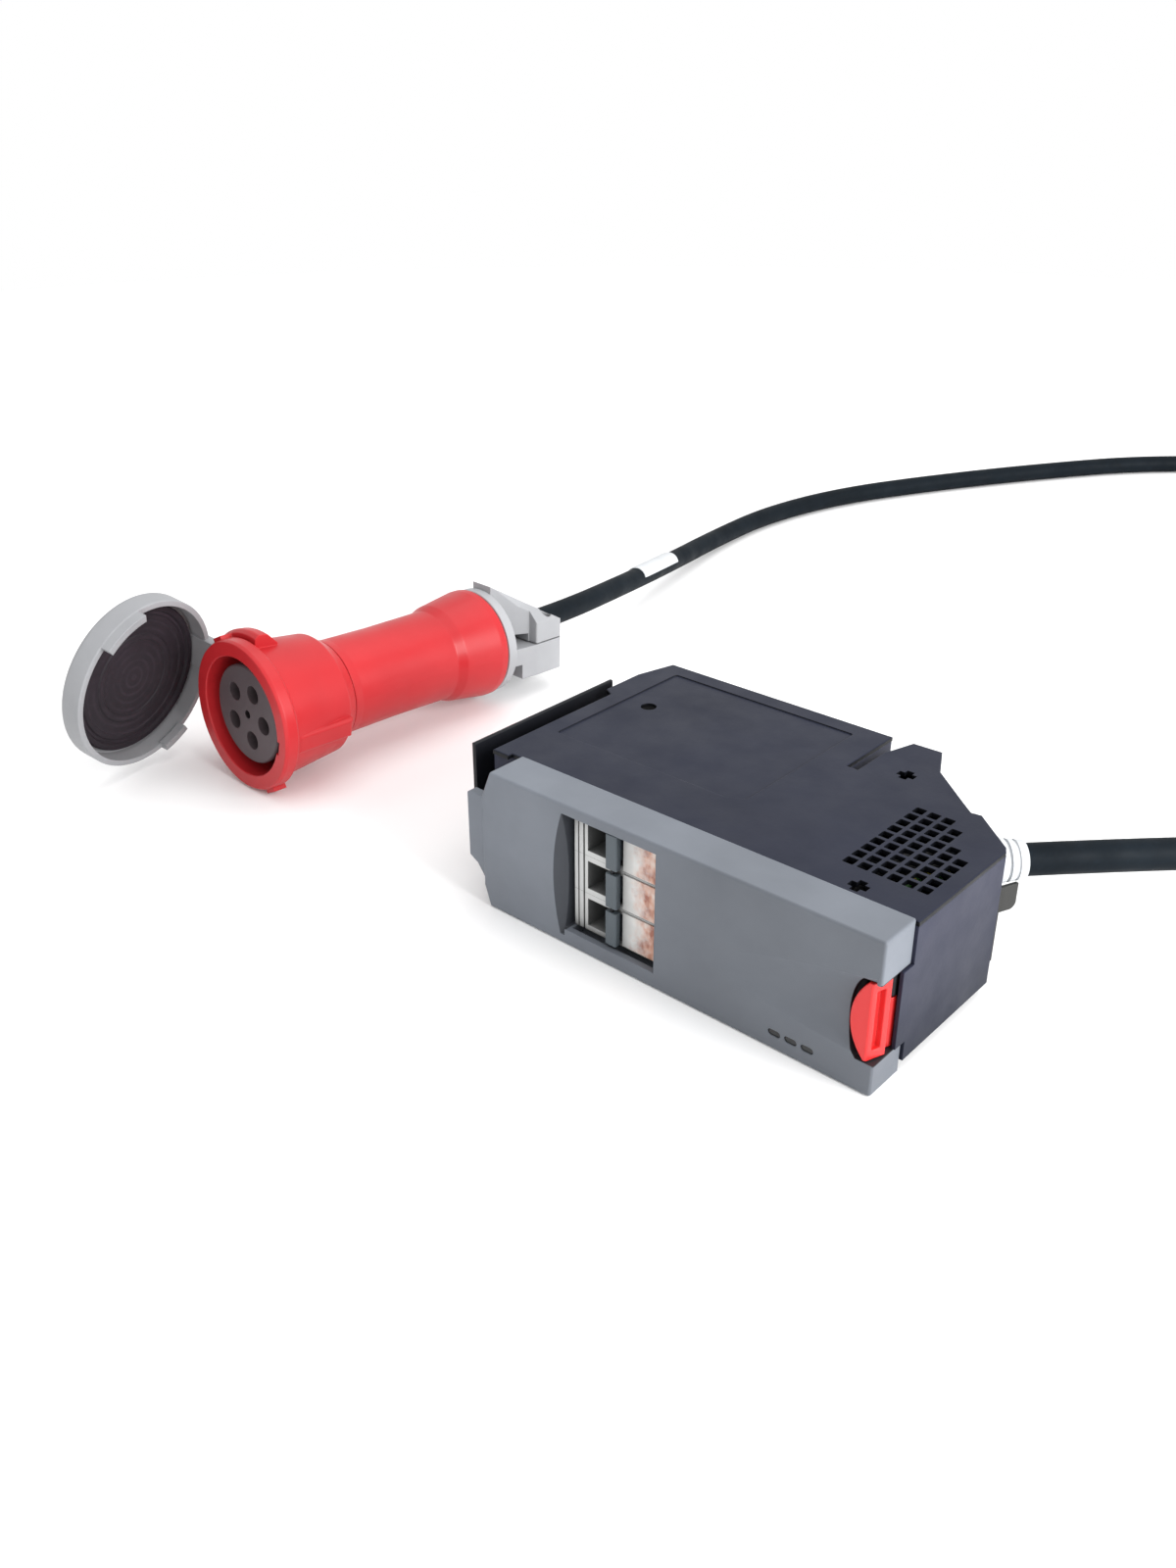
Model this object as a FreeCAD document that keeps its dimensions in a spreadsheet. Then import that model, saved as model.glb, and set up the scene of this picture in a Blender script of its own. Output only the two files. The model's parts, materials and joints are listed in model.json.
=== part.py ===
import FreeCAD, Part
import Sketcher
import math
import os

from FreeCAD import Vector, Placement, Rotation

# Rack power distribution module: a moulded grey bezel on a black tray with a
# flat cover, a three-pole breaker lying on its side behind a window, a red
# ejector latch, a bus plug at the back, and a flexible cord that ends in a
# five-contact cable connector with a hinged lid.
#
# Module pieces are drawn from a datum at the bezel's front lower right corner:
# x to the right, y to the back, z up.  The placement of each piece then moves
# that datum so that the row origin is the bottom centre of the module.

doc = FreeCAD.newDocument("rack_power_module")
sheet = doc.addObject("Spreadsheet::Sheet", "Dims")


class Dim(float):
    """A length that carries its number and its sheet expression."""

    def __new__(cls, value, text):
        self = float.__new__(cls, value)
        self.text = text
        return self

    def __add__(self, other):
        return Dim(float(self) + float(other), "(%s + %s)" % (text_of(self), text_of(other)))

    def __radd__(self, other):
        return Dim(float(other) + float(self), "(%s + %s)" % (text_of(other), text_of(self)))

    def __sub__(self, other):
        return Dim(float(self) - float(other), "(%s - %s)" % (text_of(self), text_of(other)))

    def __rsub__(self, other):
        return Dim(float(other) - float(self), "(%s - %s)" % (text_of(other), text_of(self)))

    def __mul__(self, other):
        return Dim(float(self) * float(other), "(%s * %s)" % (text_of(self), text_of(other)))

    def __rmul__(self, other):
        return Dim(float(other) * float(self), "(%s * %s)" % (text_of(other), text_of(self)))

    def __truediv__(self, other):
        return Dim(float(self) / float(other), "(%s / %s)" % (text_of(self), text_of(other)))

    def __neg__(self):
        return Dim(-float(self), "(0 - %s)" % text_of(self))


def text_of(value):
    return value.text if isinstance(value, Dim) else "%.6f" % float(value)


VALUES = [
    ("shift_x", 106.0), ("shift_y", -73.0),
    # bezel
    ("bezel_high", 65.4), ("bezel_deep", 19.6), ("bezel_wall", 2.6), ("bezel_face", 3.0),
    ("window_left", -146.5), ("window_right", -98.5), ("window_low", 7.0), ("window_top", 61.0),
    ("scoop_radius", 100.0), ("scoop_centre_x", -51.6), ("scoop_centre_z", 30.5),
    ("finger_axis_out", 23.1), ("finger_tip_radius", 23.1), ("finger_end_radius", 28.9),
    ("recess_radius", 26.8), ("recess_centre_x", 13.2), ("recess_low", 13.5), ("recess_top", 47.5),
    ("lens_long", 5.6), ("lens_high", 2.9),
    # tray and cover
    ("tray_low", 5.3), ("tray_top", 62.55), ("tray_wall", 1.5), ("cover_thick", 2.0),
    ("recess_deep", 0.5), ("vent_pitch", 6.19), ("vent_side", 4.6),
    ("rail_lip", 2.0), ("rail_out", -213.0), ("rail_web_low", 38.0), ("rail_top", 64.5),
    # breaker
    ("pole_pitch", 17.6), ("pole_wide", 17.5), ("pole_mid_z", 34.0), ("nose_y", 5.5),
    ("shoulder_y", 22.0), ("pole_back_y", 66.0), ("toggle_x", -126.5), ("toggle_y", 15.0),
    ("toggle_pin", 1.2),
    # latch
    ("latch_pin_x", -4.2), ("latch_pin_y", 14.2), ("latch_pin", 1.5), ("latch_radius", 24.5),
    ("latch_low", 14.2), ("latch_top", 46.9),
    # bus plug
    ("blade_thick", 2.0), ("blade_pitch", 18.0), ("blade_first", -175.0),
    # cord
    ("cord_radius", 6.5), ("relief_x", -10.39), ("relief_y", 93.66), ("relief_z", 51.0),
    ("relief_long", 13.6), ("wire_radius", 1.9),
    # cable connector
    ("mouth_x", -356.81), ("mouth_y", -1.92), ("mouth_z", 38.40), ("mouth_bore", 30.2), ("mouth_step", 25.5), ("mouth_inner", 28.2),
    ("flange_radius", 37.98), ("flange_deep", 8.0), ("barrel_radius", 31.0), ("barrel_edge", 43.2), ("barrel_long", 51.0),
    ("grip_radius", 24.4), ("grip_end", 119.0), ("collar_radius", 29.8), ("collar_end", 151.5),
    ("clamp_end", 197.5), ("insert_radius", 25.2), ("contact_circle", 13.4), ("contact_bore", 4.7),
    ("contact_turn", -8.4), ("lid_radius", 44.2), ("lid_inner", 41.2), ("lid_pin_out", 42.2),
    ("lid_pin_back", 21.5), ("lid_turn", 167.6), ("lid_open", 75.3), ("lid_pin", 1.6),
]
for row, (name, value) in enumerate(VALUES, start=1):
    sheet.set("A%d" % row, name)
    sheet.set("B%d" % row, "%.4f" % value)
    sheet.setAlias("B%d" % row, name)
doc.recompute()
D = {name: Dim(value, "Dims.%s" % name) for name, value in VALUES}


def d(name):
    return D[name]


# ---------------------------------------------------------------- helpers

def bind(obj, path, value):
    """Set a number and, where it comes from the sheet, bind it."""
    if path.startswith("Placement.Base."):
        place = obj.Placement
        base = Vector(place.Base)
        setattr(base, path[-1], float(value))
        obj.Placement = Placement(base, place.Rotation)
    elif path.startswith("AttachmentOffset.Base."):
        obj.AttachmentOffset = Placement(Vector(0, 0, float(value)), Rotation())
    else:
        setattr(obj, path, float(value))
    if isinstance(value, Dim):
        obj.setExpression(path, value.text)


def box(name, x0, x1, y0, y1, z0, z1):
    obj = doc.addObject("Part::Box", name)
    bind(obj, "Length", x1 - x0)
    bind(obj, "Width", y1 - y0)
    bind(obj, "Height", z1 - z0)
    bind(obj, "Placement.Base.x", x0)
    bind(obj, "Placement.Base.y", y0)
    bind(obj, "Placement.Base.z", z0)
    return obj


AXES = {"x": Vector(1, 0, 0), "y": Vector(0, 1, 0), "z": Vector(0, 0, 1)}


def turn_to(axis):
    if isinstance(axis, str):
        axis = AXES[axis]
    return Rotation(Vector(0, 0, 1), axis)


def cyl(name, axis, x, y, z, radius, length):
    """A cylinder that starts at x, y, z and runs along the axis."""
    obj = doc.addObject("Part::Cylinder", name)
    obj.Placement = Placement(Vector(float(x), float(y), float(z)), turn_to(axis))
    bind(obj, "Radius", radius)
    bind(obj, "Height", length)
    for key, value in (("x", x), ("y", y), ("z", z)):
        if isinstance(value, Dim):
            obj.setExpression("Placement.Base." + key, value.text)
    return obj


def cone(name, axis, x, y, z, radius1, radius2, length):
    obj = doc.addObject("Part::Cone", name)
    obj.Placement = Placement(Vector(float(x), float(y), float(z)), turn_to(axis))
    bind(obj, "Radius1", radius1)
    bind(obj, "Radius2", radius2)
    bind(obj, "Height", length)
    return obj


def add_loop(sketch, loop):
    """A polygon of (u, v) or (u, v, corner radius), or ("circle", u, v, r)."""
    if loop[0] == "circle":
        _, u, v, r = loop
        i = sketch.addGeometry(Part.Circle(Vector(float(u), float(v), 0), Vector(0, 0, 1), float(r)), False)
        for kind, value in (("DistanceX", u), ("DistanceY", v)):
            c = sketch.addConstraint(Sketcher.Constraint(kind, -1, 1, i, 3, float(value)))
            if isinstance(value, Dim):
                sketch.setExpression("Constraints[%d]" % c, value.text)
        c = sketch.addConstraint(Sketcher.Constraint("Radius", i, float(r)))
        if isinstance(r, Dim):
            sketch.setExpression("Constraints[%d]" % c, r.text)
        return
    n = len(loop)
    rounded = any(len(p) > 2 and float(p[2]) > 0 for p in loop)
    pts = [Vector(float(p[0]), float(p[1]), 0) for p in loop]
    if not rounded:
        first = sketch.GeometryCount
        for i in range(n):
            sketch.addGeometry(Part.LineSegment(pts[i], pts[(i + 1) % n]), False)
        for i in range(n):
            sketch.addConstraint(Sketcher.Constraint("Coincident", first + i, 2, first + (i + 1) % n, 1))
        if n <= 26:
            for i in range(n):
                for kind, value in (("DistanceX", loop[i][0]), ("DistanceY", loop[i][1])):
                    c = sketch.addConstraint(Sketcher.Constraint(kind, -1, 1, first + i, 1, float(value)))
                    if isinstance(value, Dim):
                        sketch.setExpression("Constraints[%d]" % c, value.text)
        return
    pieces = []
    starts, ends, arcs = [], [], []
    for i in range(n):
        r = float(loop[i][2]) if len(loop[i]) > 2 else 0.0
        a = (pts[i - 1] - pts[i]).normalize()
        b = (pts[(i + 1) % n] - pts[i]).normalize()
        if r <= 0:
            starts.append(pts[i]); ends.append(pts[i]); arcs.append(None)
            continue
        half = a.getAngle(b) / 2.0
        t = r / math.tan(half)
        p = pts[i] + a * t
        q = pts[i] + b * t
        mid_dir = (a + b).normalize()
        centre = pts[i] + mid_dir * (r / math.sin(half))
        mid = centre - mid_dir * r
        starts.append(p); ends.append(q)
        arcs.append(Part.Arc(p, mid, q))
    for i in range(n):
        if arcs[i] is not None:
            sketch.addGeometry(arcs[i], False)
        sketch.addGeometry(Part.LineSegment(ends[i], starts[(i + 1) % n]), False)


def new_sketch(body, name, plane, loops, at):
    sketch = body.newObject("Sketcher::SketchObject", name)
    flat = [f for f in body.Origin.OriginFeatures if f.Role == plane][0]
    sketch.AttachmentSupport = [(flat, "")]
    sketch.MapMode = "FlatFace"
    # the XZ plane looks along -y, so a place along +y is a negative offset
    bind(sketch, "AttachmentOffset.Base.z", -at if plane == "XZ_Plane" else at)
    for loop in loops:
        add_loop(sketch, loop)
    return sketch


def prism(name, plane, loops, low, high):
    """A body whose first feature is a pad from low to high along the plane's axis."""
    body = doc.addObject("PartDesign::Body", name)
    start = high if plane == "XZ_Plane" else low
    sketch = new_sketch(body, name + "_outline", plane, loops, start)
    pad = body.newObject("PartDesign::Pad", name + "_pad")
    pad.Profile = sketch
    bind(pad, "Length", high - low)
    body.Tip = pad
    return body


POCKETS = []


def pocket(body, tag, plane, loops, low, high):
    """Cut the loops out of the body from low to high along the plane's axis."""
    before = body.Tip
    start = low if plane == "XZ_Plane" else high
    sketch = new_sketch(body, tag + "_outline", plane, loops, start)
    cutter = body.newObject("PartDesign::Pocket", tag)
    cutter.Profile = sketch
    cutter.Type = "Length"
    bind(cutter, "Length", high - low)
    body.Tip = cutter
    POCKETS.append((before, cutter))
    return body


def turned(name, profile):
    """A body of revolution about z from (radius, z) corners."""
    body = doc.addObject("PartDesign::Body", name)
    sketch = new_sketch(body, name + "_profile", "XZ_Plane", [profile], 0.0)
    rev = body.newObject("PartDesign::Revolution", name + "_revolution")
    rev.Profile = sketch
    rev.ReferenceAxis = (sketch, ["V_Axis"])
    rev.Angle = 360.0
    body.Tip = rev
    return body


def cut(name, base, *tools):
    tool = tools[0] if len(tools) == 1 else fuse(name + "_tools", *tools)
    obj = doc.addObject("Part::Cut", name)
    obj.Base = base
    obj.Tool = tool
    return obj


def fuse(name, *parts):
    obj = doc.addObject("Part::MultiFuse", name)
    obj.Shapes = list(parts)
    obj.Refine = True
    return obj


def common(name, a, b):
    obj = doc.addObject("Part::Common", name)
    obj.Base = a
    obj.Tool = b
    return obj


def rounded(name, base, radius, wanted):
    """Round the edges that the test picks."""
    doc.recompute()
    edges = []
    for i, e in enumerate(base.Shape.Edges, start=1):
        if wanted(e):
            edges.append((i, radius, radius))
    obj = doc.addObject("Part::Fillet", name)
    obj.Base = base
    obj.Edges = edges
    return obj


def group(name, *parts):
    obj = doc.addObject("Part::Compound", name)
    obj.Links = list(parts)
    return obj


NODES = []


def node(label, obj, place=None):
    """Give a finished piece its label and its placement in the row frame."""
    obj.Label = label
    if place is None:
        obj.Placement = Placement(Vector(float(d("shift_x")), float(d("shift_y")), 0), Rotation())
        obj.setExpression("Placement.Base.x", "Dims.shift_x")
        obj.setExpression("Placement.Base.y", "Dims.shift_y")
    else:
        obj.Placement = place
    NODES.append((label, obj))
    return obj


def all_at(e, axis, value, tol=1e-4):
    return all(abs(getattr(v.Point, axis) - value) < tol for v in e.Vertexes)


def inset(points, t):
    """Move every side of an anticlockwise polygon inwards by t."""
    out = []
    n = len(points)
    for i in range(n):
        p0, p1, p2 = points[i - 1], points[i], points[(i + 1) % n]
        a = Vector(p1[0] - p0[0], p1[1] - p0[1], 0).normalize()
        b = Vector(p2[0] - p1[0], p2[1] - p1[1], 0).normalize()
        na, nb = Vector(-a.y, a.x, 0), Vector(-b.y, b.x, 0)
        m = (na + nb)
        k = t / (1.0 + na.dot(nb))
        out.append((p1[0] + m.x * k, p1[1] + m.y * k))
    return out


def tube_path(points, share=0.45):
    """Straight runs joined by tangent arcs that use a share of the shorter run."""
    pts = [Vector(*p) for p in points]
    edges = []
    radii = []
    here = pts[0]
    for i in range(1, len(pts) - 1):
        a = pts[i - 1] - pts[i]
        b = pts[i + 1] - pts[i]
        la, lb = a.Length, b.Length
        a.normalize(); b.normalize()
        turn = math.pi - a.getAngle(b)
        t = share * min(la, lb)
        r = t / math.tan(turn / 2.0)
        radii.append(r)
        p = pts[i] + a * t
        q = pts[i] + b * t
        mid_dir = (a + b).normalize()
        centre = pts[i] + mid_dir * (r / math.cos(turn / 2.0))
        edges.append(Part.LineSegment(here, p).toShape())
        edges.append(Part.Arc(p, centre - mid_dir * r, q).toShape())
        here = q
    edges.append(Part.LineSegment(here, pts[-1]).toShape())
    return Part.Wire(edges), radii


def tube_shape(points, radius, share=0.45):
    wire, radii = tube_path(points, share)
    pts = [Vector(*p) for p in points]
    ring = Part.Wire([Part.Circle(pts[0], pts[1] - pts[0], radius).toShape()])
    solid = wire.makePipeShell([ring], True, False, 2)
    if solid.ShapeType != "Solid":
        solid = Part.Solid(solid)
    if solid.Volume < 0:
        solid.reverse()
    want = math.pi * radius * radius * wire.Length
    return solid, wire.Length, min(radii) if radii else 0.0, solid.Volume / want, radii


# ---------------------------------------------------------------- front bezel

H = d("bezel_high")
deep = d("bezel_deep")
face = d("bezel_face")
wall = float(d("bezel_wall"))
outline = [(-188.8, 0.0), (0.0, 0.0), (0.0, H), (-186.5, H), (-191.8, 52.5), (-192.0, 9.6)]
inner = inset([(float(u), float(v)) for u, v in outline], wall)
shell0 = prism("bezel_shell", "XZ_Plane", [outline], Dim(0.0, "0"), deep)
shell1 = rounded("bezel_shell_soft", shell0, 1.1,
                 lambda e: (all_at(e, "y", 0.0) or (all_at(e, "x", 0.0) and e.Length > 15)
                            or (all_at(e, "z", float(H)) and all_at(e, "x", 0.0))
                            or (all_at(e, "x", -186.5) and all_at(e, "z", float(H)))))
hollow = prism("bezel_hollow", "XZ_Plane", [inner], face, deep + 1.0)
shell2 = cut("bezel_open", shell1, hollow)
tab = prism("bezel_tab", "XZ_Plane",
            [[(-190.6, 52.1), (-200.4, 52.1, 1.2), (-200.4, 21.2, 0.8), (-195.8, 18.6, 0.8), (-190.9, 12.0)]],
            Dim(0.6, "0.6"), Dim(5.0, "5.0"))
scoop_back = box("scoop_backing", -156.0, -143.7, 1.6, 12.0, 2.0, 63.4)
finger_axis = Vector(61.5, 0, 4.5)
finger_back = common("finger_backing",
                     cone("finger_backing_cone", finger_axis, -72.5, -d("finger_axis_out"), 27.3,
                          d("finger_tip_radius") + 2.4, d("finger_end_radius") + 2.4, 72.0),
                     box("finger_backing_block", -82.0, -6.0, 1.6, 10.0, 4.0, 58.0))
recess_back = box("recess_backing", -16.5, -0.9, 1.6, deep, 10.8, 50.2)
bosses = [cyl("bezel_boss_%d" % i, "y", x, 2.0, z, 3.4, deep - 2.0)
          for i, (x, z) in enumerate([(-181.0, 16.0), (-181.0, 53.0), (-84.0, 10.0), (-84.0, 57.0), (-24.0, 56.6)])]
led_cradle = box("led_cradle", -49.0, -19.0, 2.0, 11.6, 1.6, 3.4)
solid_bezel = fuse("bezel_solid", shell2, tab, scoop_back, finger_back, recess_back, led_cradle, *bosses)
window = box("window_tool", d("window_left"), d("window_right"), -1.0, 21.0, d("window_low"), d("window_top"))
left_scoop = common("left_scoop_tool",
                    cone("left_scoop_cone", "y", d("scoop_centre_x"), -1.0, d("scoop_centre_z"),
                         d("scoop_radius") + 1.18, d("scoop_radius") - 11.8, 11.0),
                    box("left_scoop_block", -157.0, -145.4, -1.0, 10.0, 4.0, 60.6))
finger_scoop = cone("finger_scoop_tool", finger_axis, -72.5, -d("finger_axis_out"), 27.3,
                    d("finger_tip_radius"), d("finger_end_radius"), 72.0)
recess = common("latch_recess_tool",
                cyl("latch_recess_round", "y", d("recess_centre_x"), -1.0, 30.5, d("recess_radius"), 23.0),
                box("latch_recess_block", -14.6, 6.0, -1.0, 21.0, d("recess_low"), d("recess_top")))
lens_places = [(-41.3, 7.2), (-34.1, 7.2), (-26.9, 7.2)]


def slot_loop(x, z, long, high):
    r = float(high) / 2 - 0.02
    return [(x - float(long) / 2, z - float(high) / 2, r), (x + float(long) / 2, z - float(high) / 2, r),
            (x + float(long) / 2, z + float(high) / 2, r), (x - float(long) / 2, z + float(high) / 2, r)]


lens_tools = [prism("lens_tool_%d" % i, "XZ_Plane", [slot_loop(x, z, d("lens_long"), d("lens_high"))],
                    Dim(-1.0, "-1.0"), Dim(4.5, "4.5")) for i, (x, z) in enumerate(lens_places)]
boss_holes = [cyl("bezel_boss_hole_%d" % i, "y", x, 6.0, z, 1.5, 20.0)
              for i, (x, z) in enumerate([(-181.0, 16.0), (-181.0, 53.0), (-84.0, 10.0), (-84.0, 57.0), (-24.0, 56.6)])]
pin_hole = cyl("latch_pin_hole", "z", d("latch_pin_x"), d("latch_pin_y"), 10.0, d("latch_pin"), 40.6)
node("front_bezel", cut("front_bezel", solid_bezel, window, left_scoop, finger_scoop, recess, pin_hole,
                        *(lens_tools + boss_holes)))

# status lenses, lamps and the small lamp board in the bezel
lens_rods = [prism("lens_rod_%d" % i, "XZ_Plane",
                   [slot_loop(x, z, d("lens_long") - 0.1, d("lens_high") - 0.1)], Dim(0.5, "0.5"), Dim(6.0, "6.0"))
             for i, (x, z) in enumerate(lens_places)]
node("status_lenses", group("status_lenses", *lens_rods))
lamps = [box("status_lamp_%d" % i, x - 1.5, x + 1.5, 6.0, 8.0, z - 1.0, z + 1.0) for i, (x, z) in enumerate(lens_places)]
node("status_lamps", group("status_lamps", *lamps))
node("lamp_board", prism("lamp_board", "XZ_Plane", [[(-48.0, 3.4), (-20.0, 3.4), (-20.0, 11.4), (-48.0, 11.4)]],
                         Dim(8.0, "8.0"), Dim(9.6, "9.6")))

# ---------------------------------------------------------------- tray, cover, rail, runners

low, top = d("tray_low"), d("tray_top")
floor_top = low + d("tray_wall")
plan = [(1.0, 19.6), (1.0, 83.0), (-18.7, 101.4), (-23.0, 100.9), (-30.4, 107.3), (-49.4, 124.0), (-57.7, 138.8),
        (-71.0, 138.8), (-75.9, 124.0), (-75.9, 103.2), (-81.0, 103.2), (-81.0, 138.8), (-201.0, 138.8),
        (-203.0, 119.0), (-203.0, 19.6)]
plan_in = inset(plan, float(d("tray_wall")))
tray0 = prism("tray_block", "XY_Plane", [plan], low, top)
pocket(tray0, "tray_hollow", "XY_Plane", [plan_in], floor_top, top)
nose_gap = box("tray_nose_gap", -164.0, -73.0, 18.0, 22.0, 7.2, 61.2)
bus_gap = box("tray_bus_gap", -187.0, -91.0, 136.0, 140.0, 16.0, 54.0)
# the gland looks out of the slanted wall
OUT = Vector(0.6832, 0.7302, 0.0).normalize()
ASIDE = Vector(-OUT.y, OUT.x, 0.0)
GLAND = Vector(float(d("relief_x")), float(d("relief_y")), float(d("relief_z")))


def on_wall(t, off, z):
    """A point t along the slanted wall from its front corner and off outside it."""
    q = Vector(1.0, 83.0, 0.0) + ASIDE * t + OUT * off
    return q.x, q.y, z


hole_from = GLAND - OUT * 4.0
relief_hole = cyl("tray_relief_hole", OUT, hole_from.x, hole_from.y, hole_from.z, 8.05, 6.0)
latch_gap = box("tray_latch_gap", -12.0, -0.5, 18.0, 22.0, 14.0, 47.0)
lamp_gap = box("tray_lamp_gap", -52.0, -16.0, 18.0, 22.0, 8.5, 13.0)
screw_holes = [cyl("tray_screw_hole_%d" % i, "y", x, 18.0, z, 1.75, 5.0)
               for i, (x, z) in enumerate([(-181.0, 16.0), (-181.0, 53.0), (-24.0, 56.6)])]
floor_holes = [cyl("tray_floor_hole_%d" % i, "z", x, y, 4.0, 2.05, 4.0)
               for i, (x, y) in enumerate([(-131.0, 78.0), (-106.0, 78.0), (-50.0, 92.0)])]
side_holes = [cyl("tray_side_hole_%d" % i, "x", -205.0, y, 30.0, 1.75, 5.0) for i, y in enumerate([30.0, 60.0, 92.0])]
bracket_holes = [cyl("tray_bracket_hole_%d" % i, OUT, *on_wall(5.2, -4.0, z), 1.5, 6.0) for i, z in enumerate([19.0, 27.0])]
latch_cheek = box("tray_latch_cheek", -0.5, 1.0, 13.0, 20.4, 14.0, 47.0)
cover_post = cyl("tray_cover_post", "z", -180.1, 94.9, floor_top - 0.2, 4.2, top - floor_top + 0.2)
cover_post_hole = cyl("tray_cover_post_hole", "z", -180.1, 94.9, 40.0, 1.5, 30.0)
tray1 = fuse("tray_with_post", tray0, cover_post, latch_cheek)
node("chassis_tray", cut("chassis_tray", tray1, nose_gap, bus_gap, relief_hole, latch_gap, lamp_gap, cover_post_hole,
                         *(screw_holes + floor_holes + side_holes + bracket_holes)))

runners = [box("runner_%d" % i, x, x + 9.0, 26.0, 132.0 if i == 0 else 80.0, 0.0, low) for i, x in enumerate([-186.0, -32.0])]
runners.append(box("runner_2", -92.0, -83.0, 26.0, 132.0, 0.0, low))
node("slide_runners", group("slide_runners", *runners))

cover_plan = [(-192.6, 19.8), (1.0, 19.8), (1.0, 82.6), (-0.6, 85.6), (-19.0, 101.8), (-23.3, 101.2), (-30.4, 107.3),
              (-49.4, 124.0), (-57.7, 140.4), (-71.2, 139.9), (-75.9, 124.0), (-75.9, 103.2), (-81.0, 103.2),
              (-81.0, 139.4), (-201.4, 139.2), (-206.5, 119.0), (-206.5, 96.4), (-201.5, 93.6), (-201.5, 17.4),
              (-192.6, 17.4)]
cover0 = prism("cover_plate", "XY_Plane", [cover_plan], top, top + d("cover_thick"))
cover1 = rounded("cover_soft", cover0, 0.6, lambda e: all_at(e, "z", float(top) + float(d("cover_thick"))))
recess_tool = prism("cover_recess", "XY_Plane",
                    [[(-192.5, 47.5, 1.5), (-102.7, 48.2, 1.5), (-94.8, 52.1, 1.5), (-95.0, 130.5, 1.5), (-192.5, 130.5, 1.5)]],
                    top + d("cover_thick") - d("recess_deep"), top + d("cover_thick") + 1.0)
vents = []
vs, vp = float(d("vent_side")) / 2, float(d("vent_pitch"))
for i, count in enumerate((9, 9, 9, 8, 6, 5)):
    for j in range(count):
        cx, cy = -38.85 + vp * i, 39.14 + vp * j
        vents.append([(cx - vs, cy - vs, 0.5), (cx + vs, cy - vs, 0.5), (cx + vs, cy + vs, 0.5), (cx - vs, cy + vs, 0.5)])
vent_tool = prism("cover_vents", "XY_Plane", vents, top - 1.0, top + 4.0)
crosses = []
for i, (x, y) in enumerate([(-58.2, 111.9), (-27.1, 26.0)]):
    crosses.append(box("cover_cross_%d_a" % i, x - 3.9, x + 3.9, y - 1.7, y + 1.7, top - 1.0, top + 4.0))
    crosses.append(box("cover_cross_%d_b" % i, x - 1.7, x + 1.7, y - 3.9, y + 3.9, top - 1.0, top + 4.0))
cover_hole = cyl("cover_hole", "z", -180.1, 94.9, top - 1.0, 3.6, 4.0)
node("top_cover", cut("top_cover", cover1, recess_tool, vent_tool, cover_hole, *crosses))
post_screw = fuse("cover_screw", cyl("cover_screw_head", "z", -180.1, 94.9, top - 0.0, 3.5, 0.6),
                  cyl("cover_screw_shank", "z", -180.1, 94.9, 46.0, 1.45, top - 46.0))
node("cover_screw", post_screw)

rail = prism("guide_rail", "XZ_Plane",
             [[(d("rail_out"), d("rail_web_low"), 0.6), (-205.0, d("rail_web_low")), (-205.0, 22.0), (-203.0, 22.0),
               (-203.0, d("rail_web_low") + 2.5), (d("rail_out") + d("rail_lip"), d("rail_web_low") + 2.5),
               (d("rail_out") + d("rail_lip"), d("rail_top"), 0.7), (d("rail_out"), d("rail_top"), 0.7)]],
             Dim(16.4, "16.4"), Dim(106.0, "106.0"))
rail_holes = [cyl("rail_hole_%d" % i, "x", -206.0, y, 30.0, 1.75, 4.0) for i, y in enumerate([30.0, 60.0, 92.0])]
node("left_guide_rail", cut("left_guide_rail", rail, *rail_holes))
rail_screws = []
for i, y in enumerate([30.0, 60.0, 92.0]):
    rail_screws.append(fuse("rail_screw_%d" % i, cyl("rail_screw_head_%d" % i, "x", -207.0, y, 30.0, 3.0, 2.0),
                            cyl("rail_screw_shank_%d" % i, "x", -205.0, y, 30.0, 1.7, 6.5)))
node("rail_screws", group("rail_screws", *rail_screws))
bezel_screws = []
for i, (x, z) in enumerate([(-181.0, 16.0), (-181.0, 53.0), (-24.0, 56.6)]):
    bezel_screws.append(fuse("bezel_screw_%d" % i, cyl("bezel_screw_head_%d" % i, "y", x, 21.1, z, 2.9, 2.2),
                             cyl("bezel_screw_shank_%d" % i, "y", x, 10.0, z, 1.45, 11.2)))
node("bezel_screws", group("bezel_screws", *bezel_screws))

# ---------------------------------------------------------------- breaker

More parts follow.
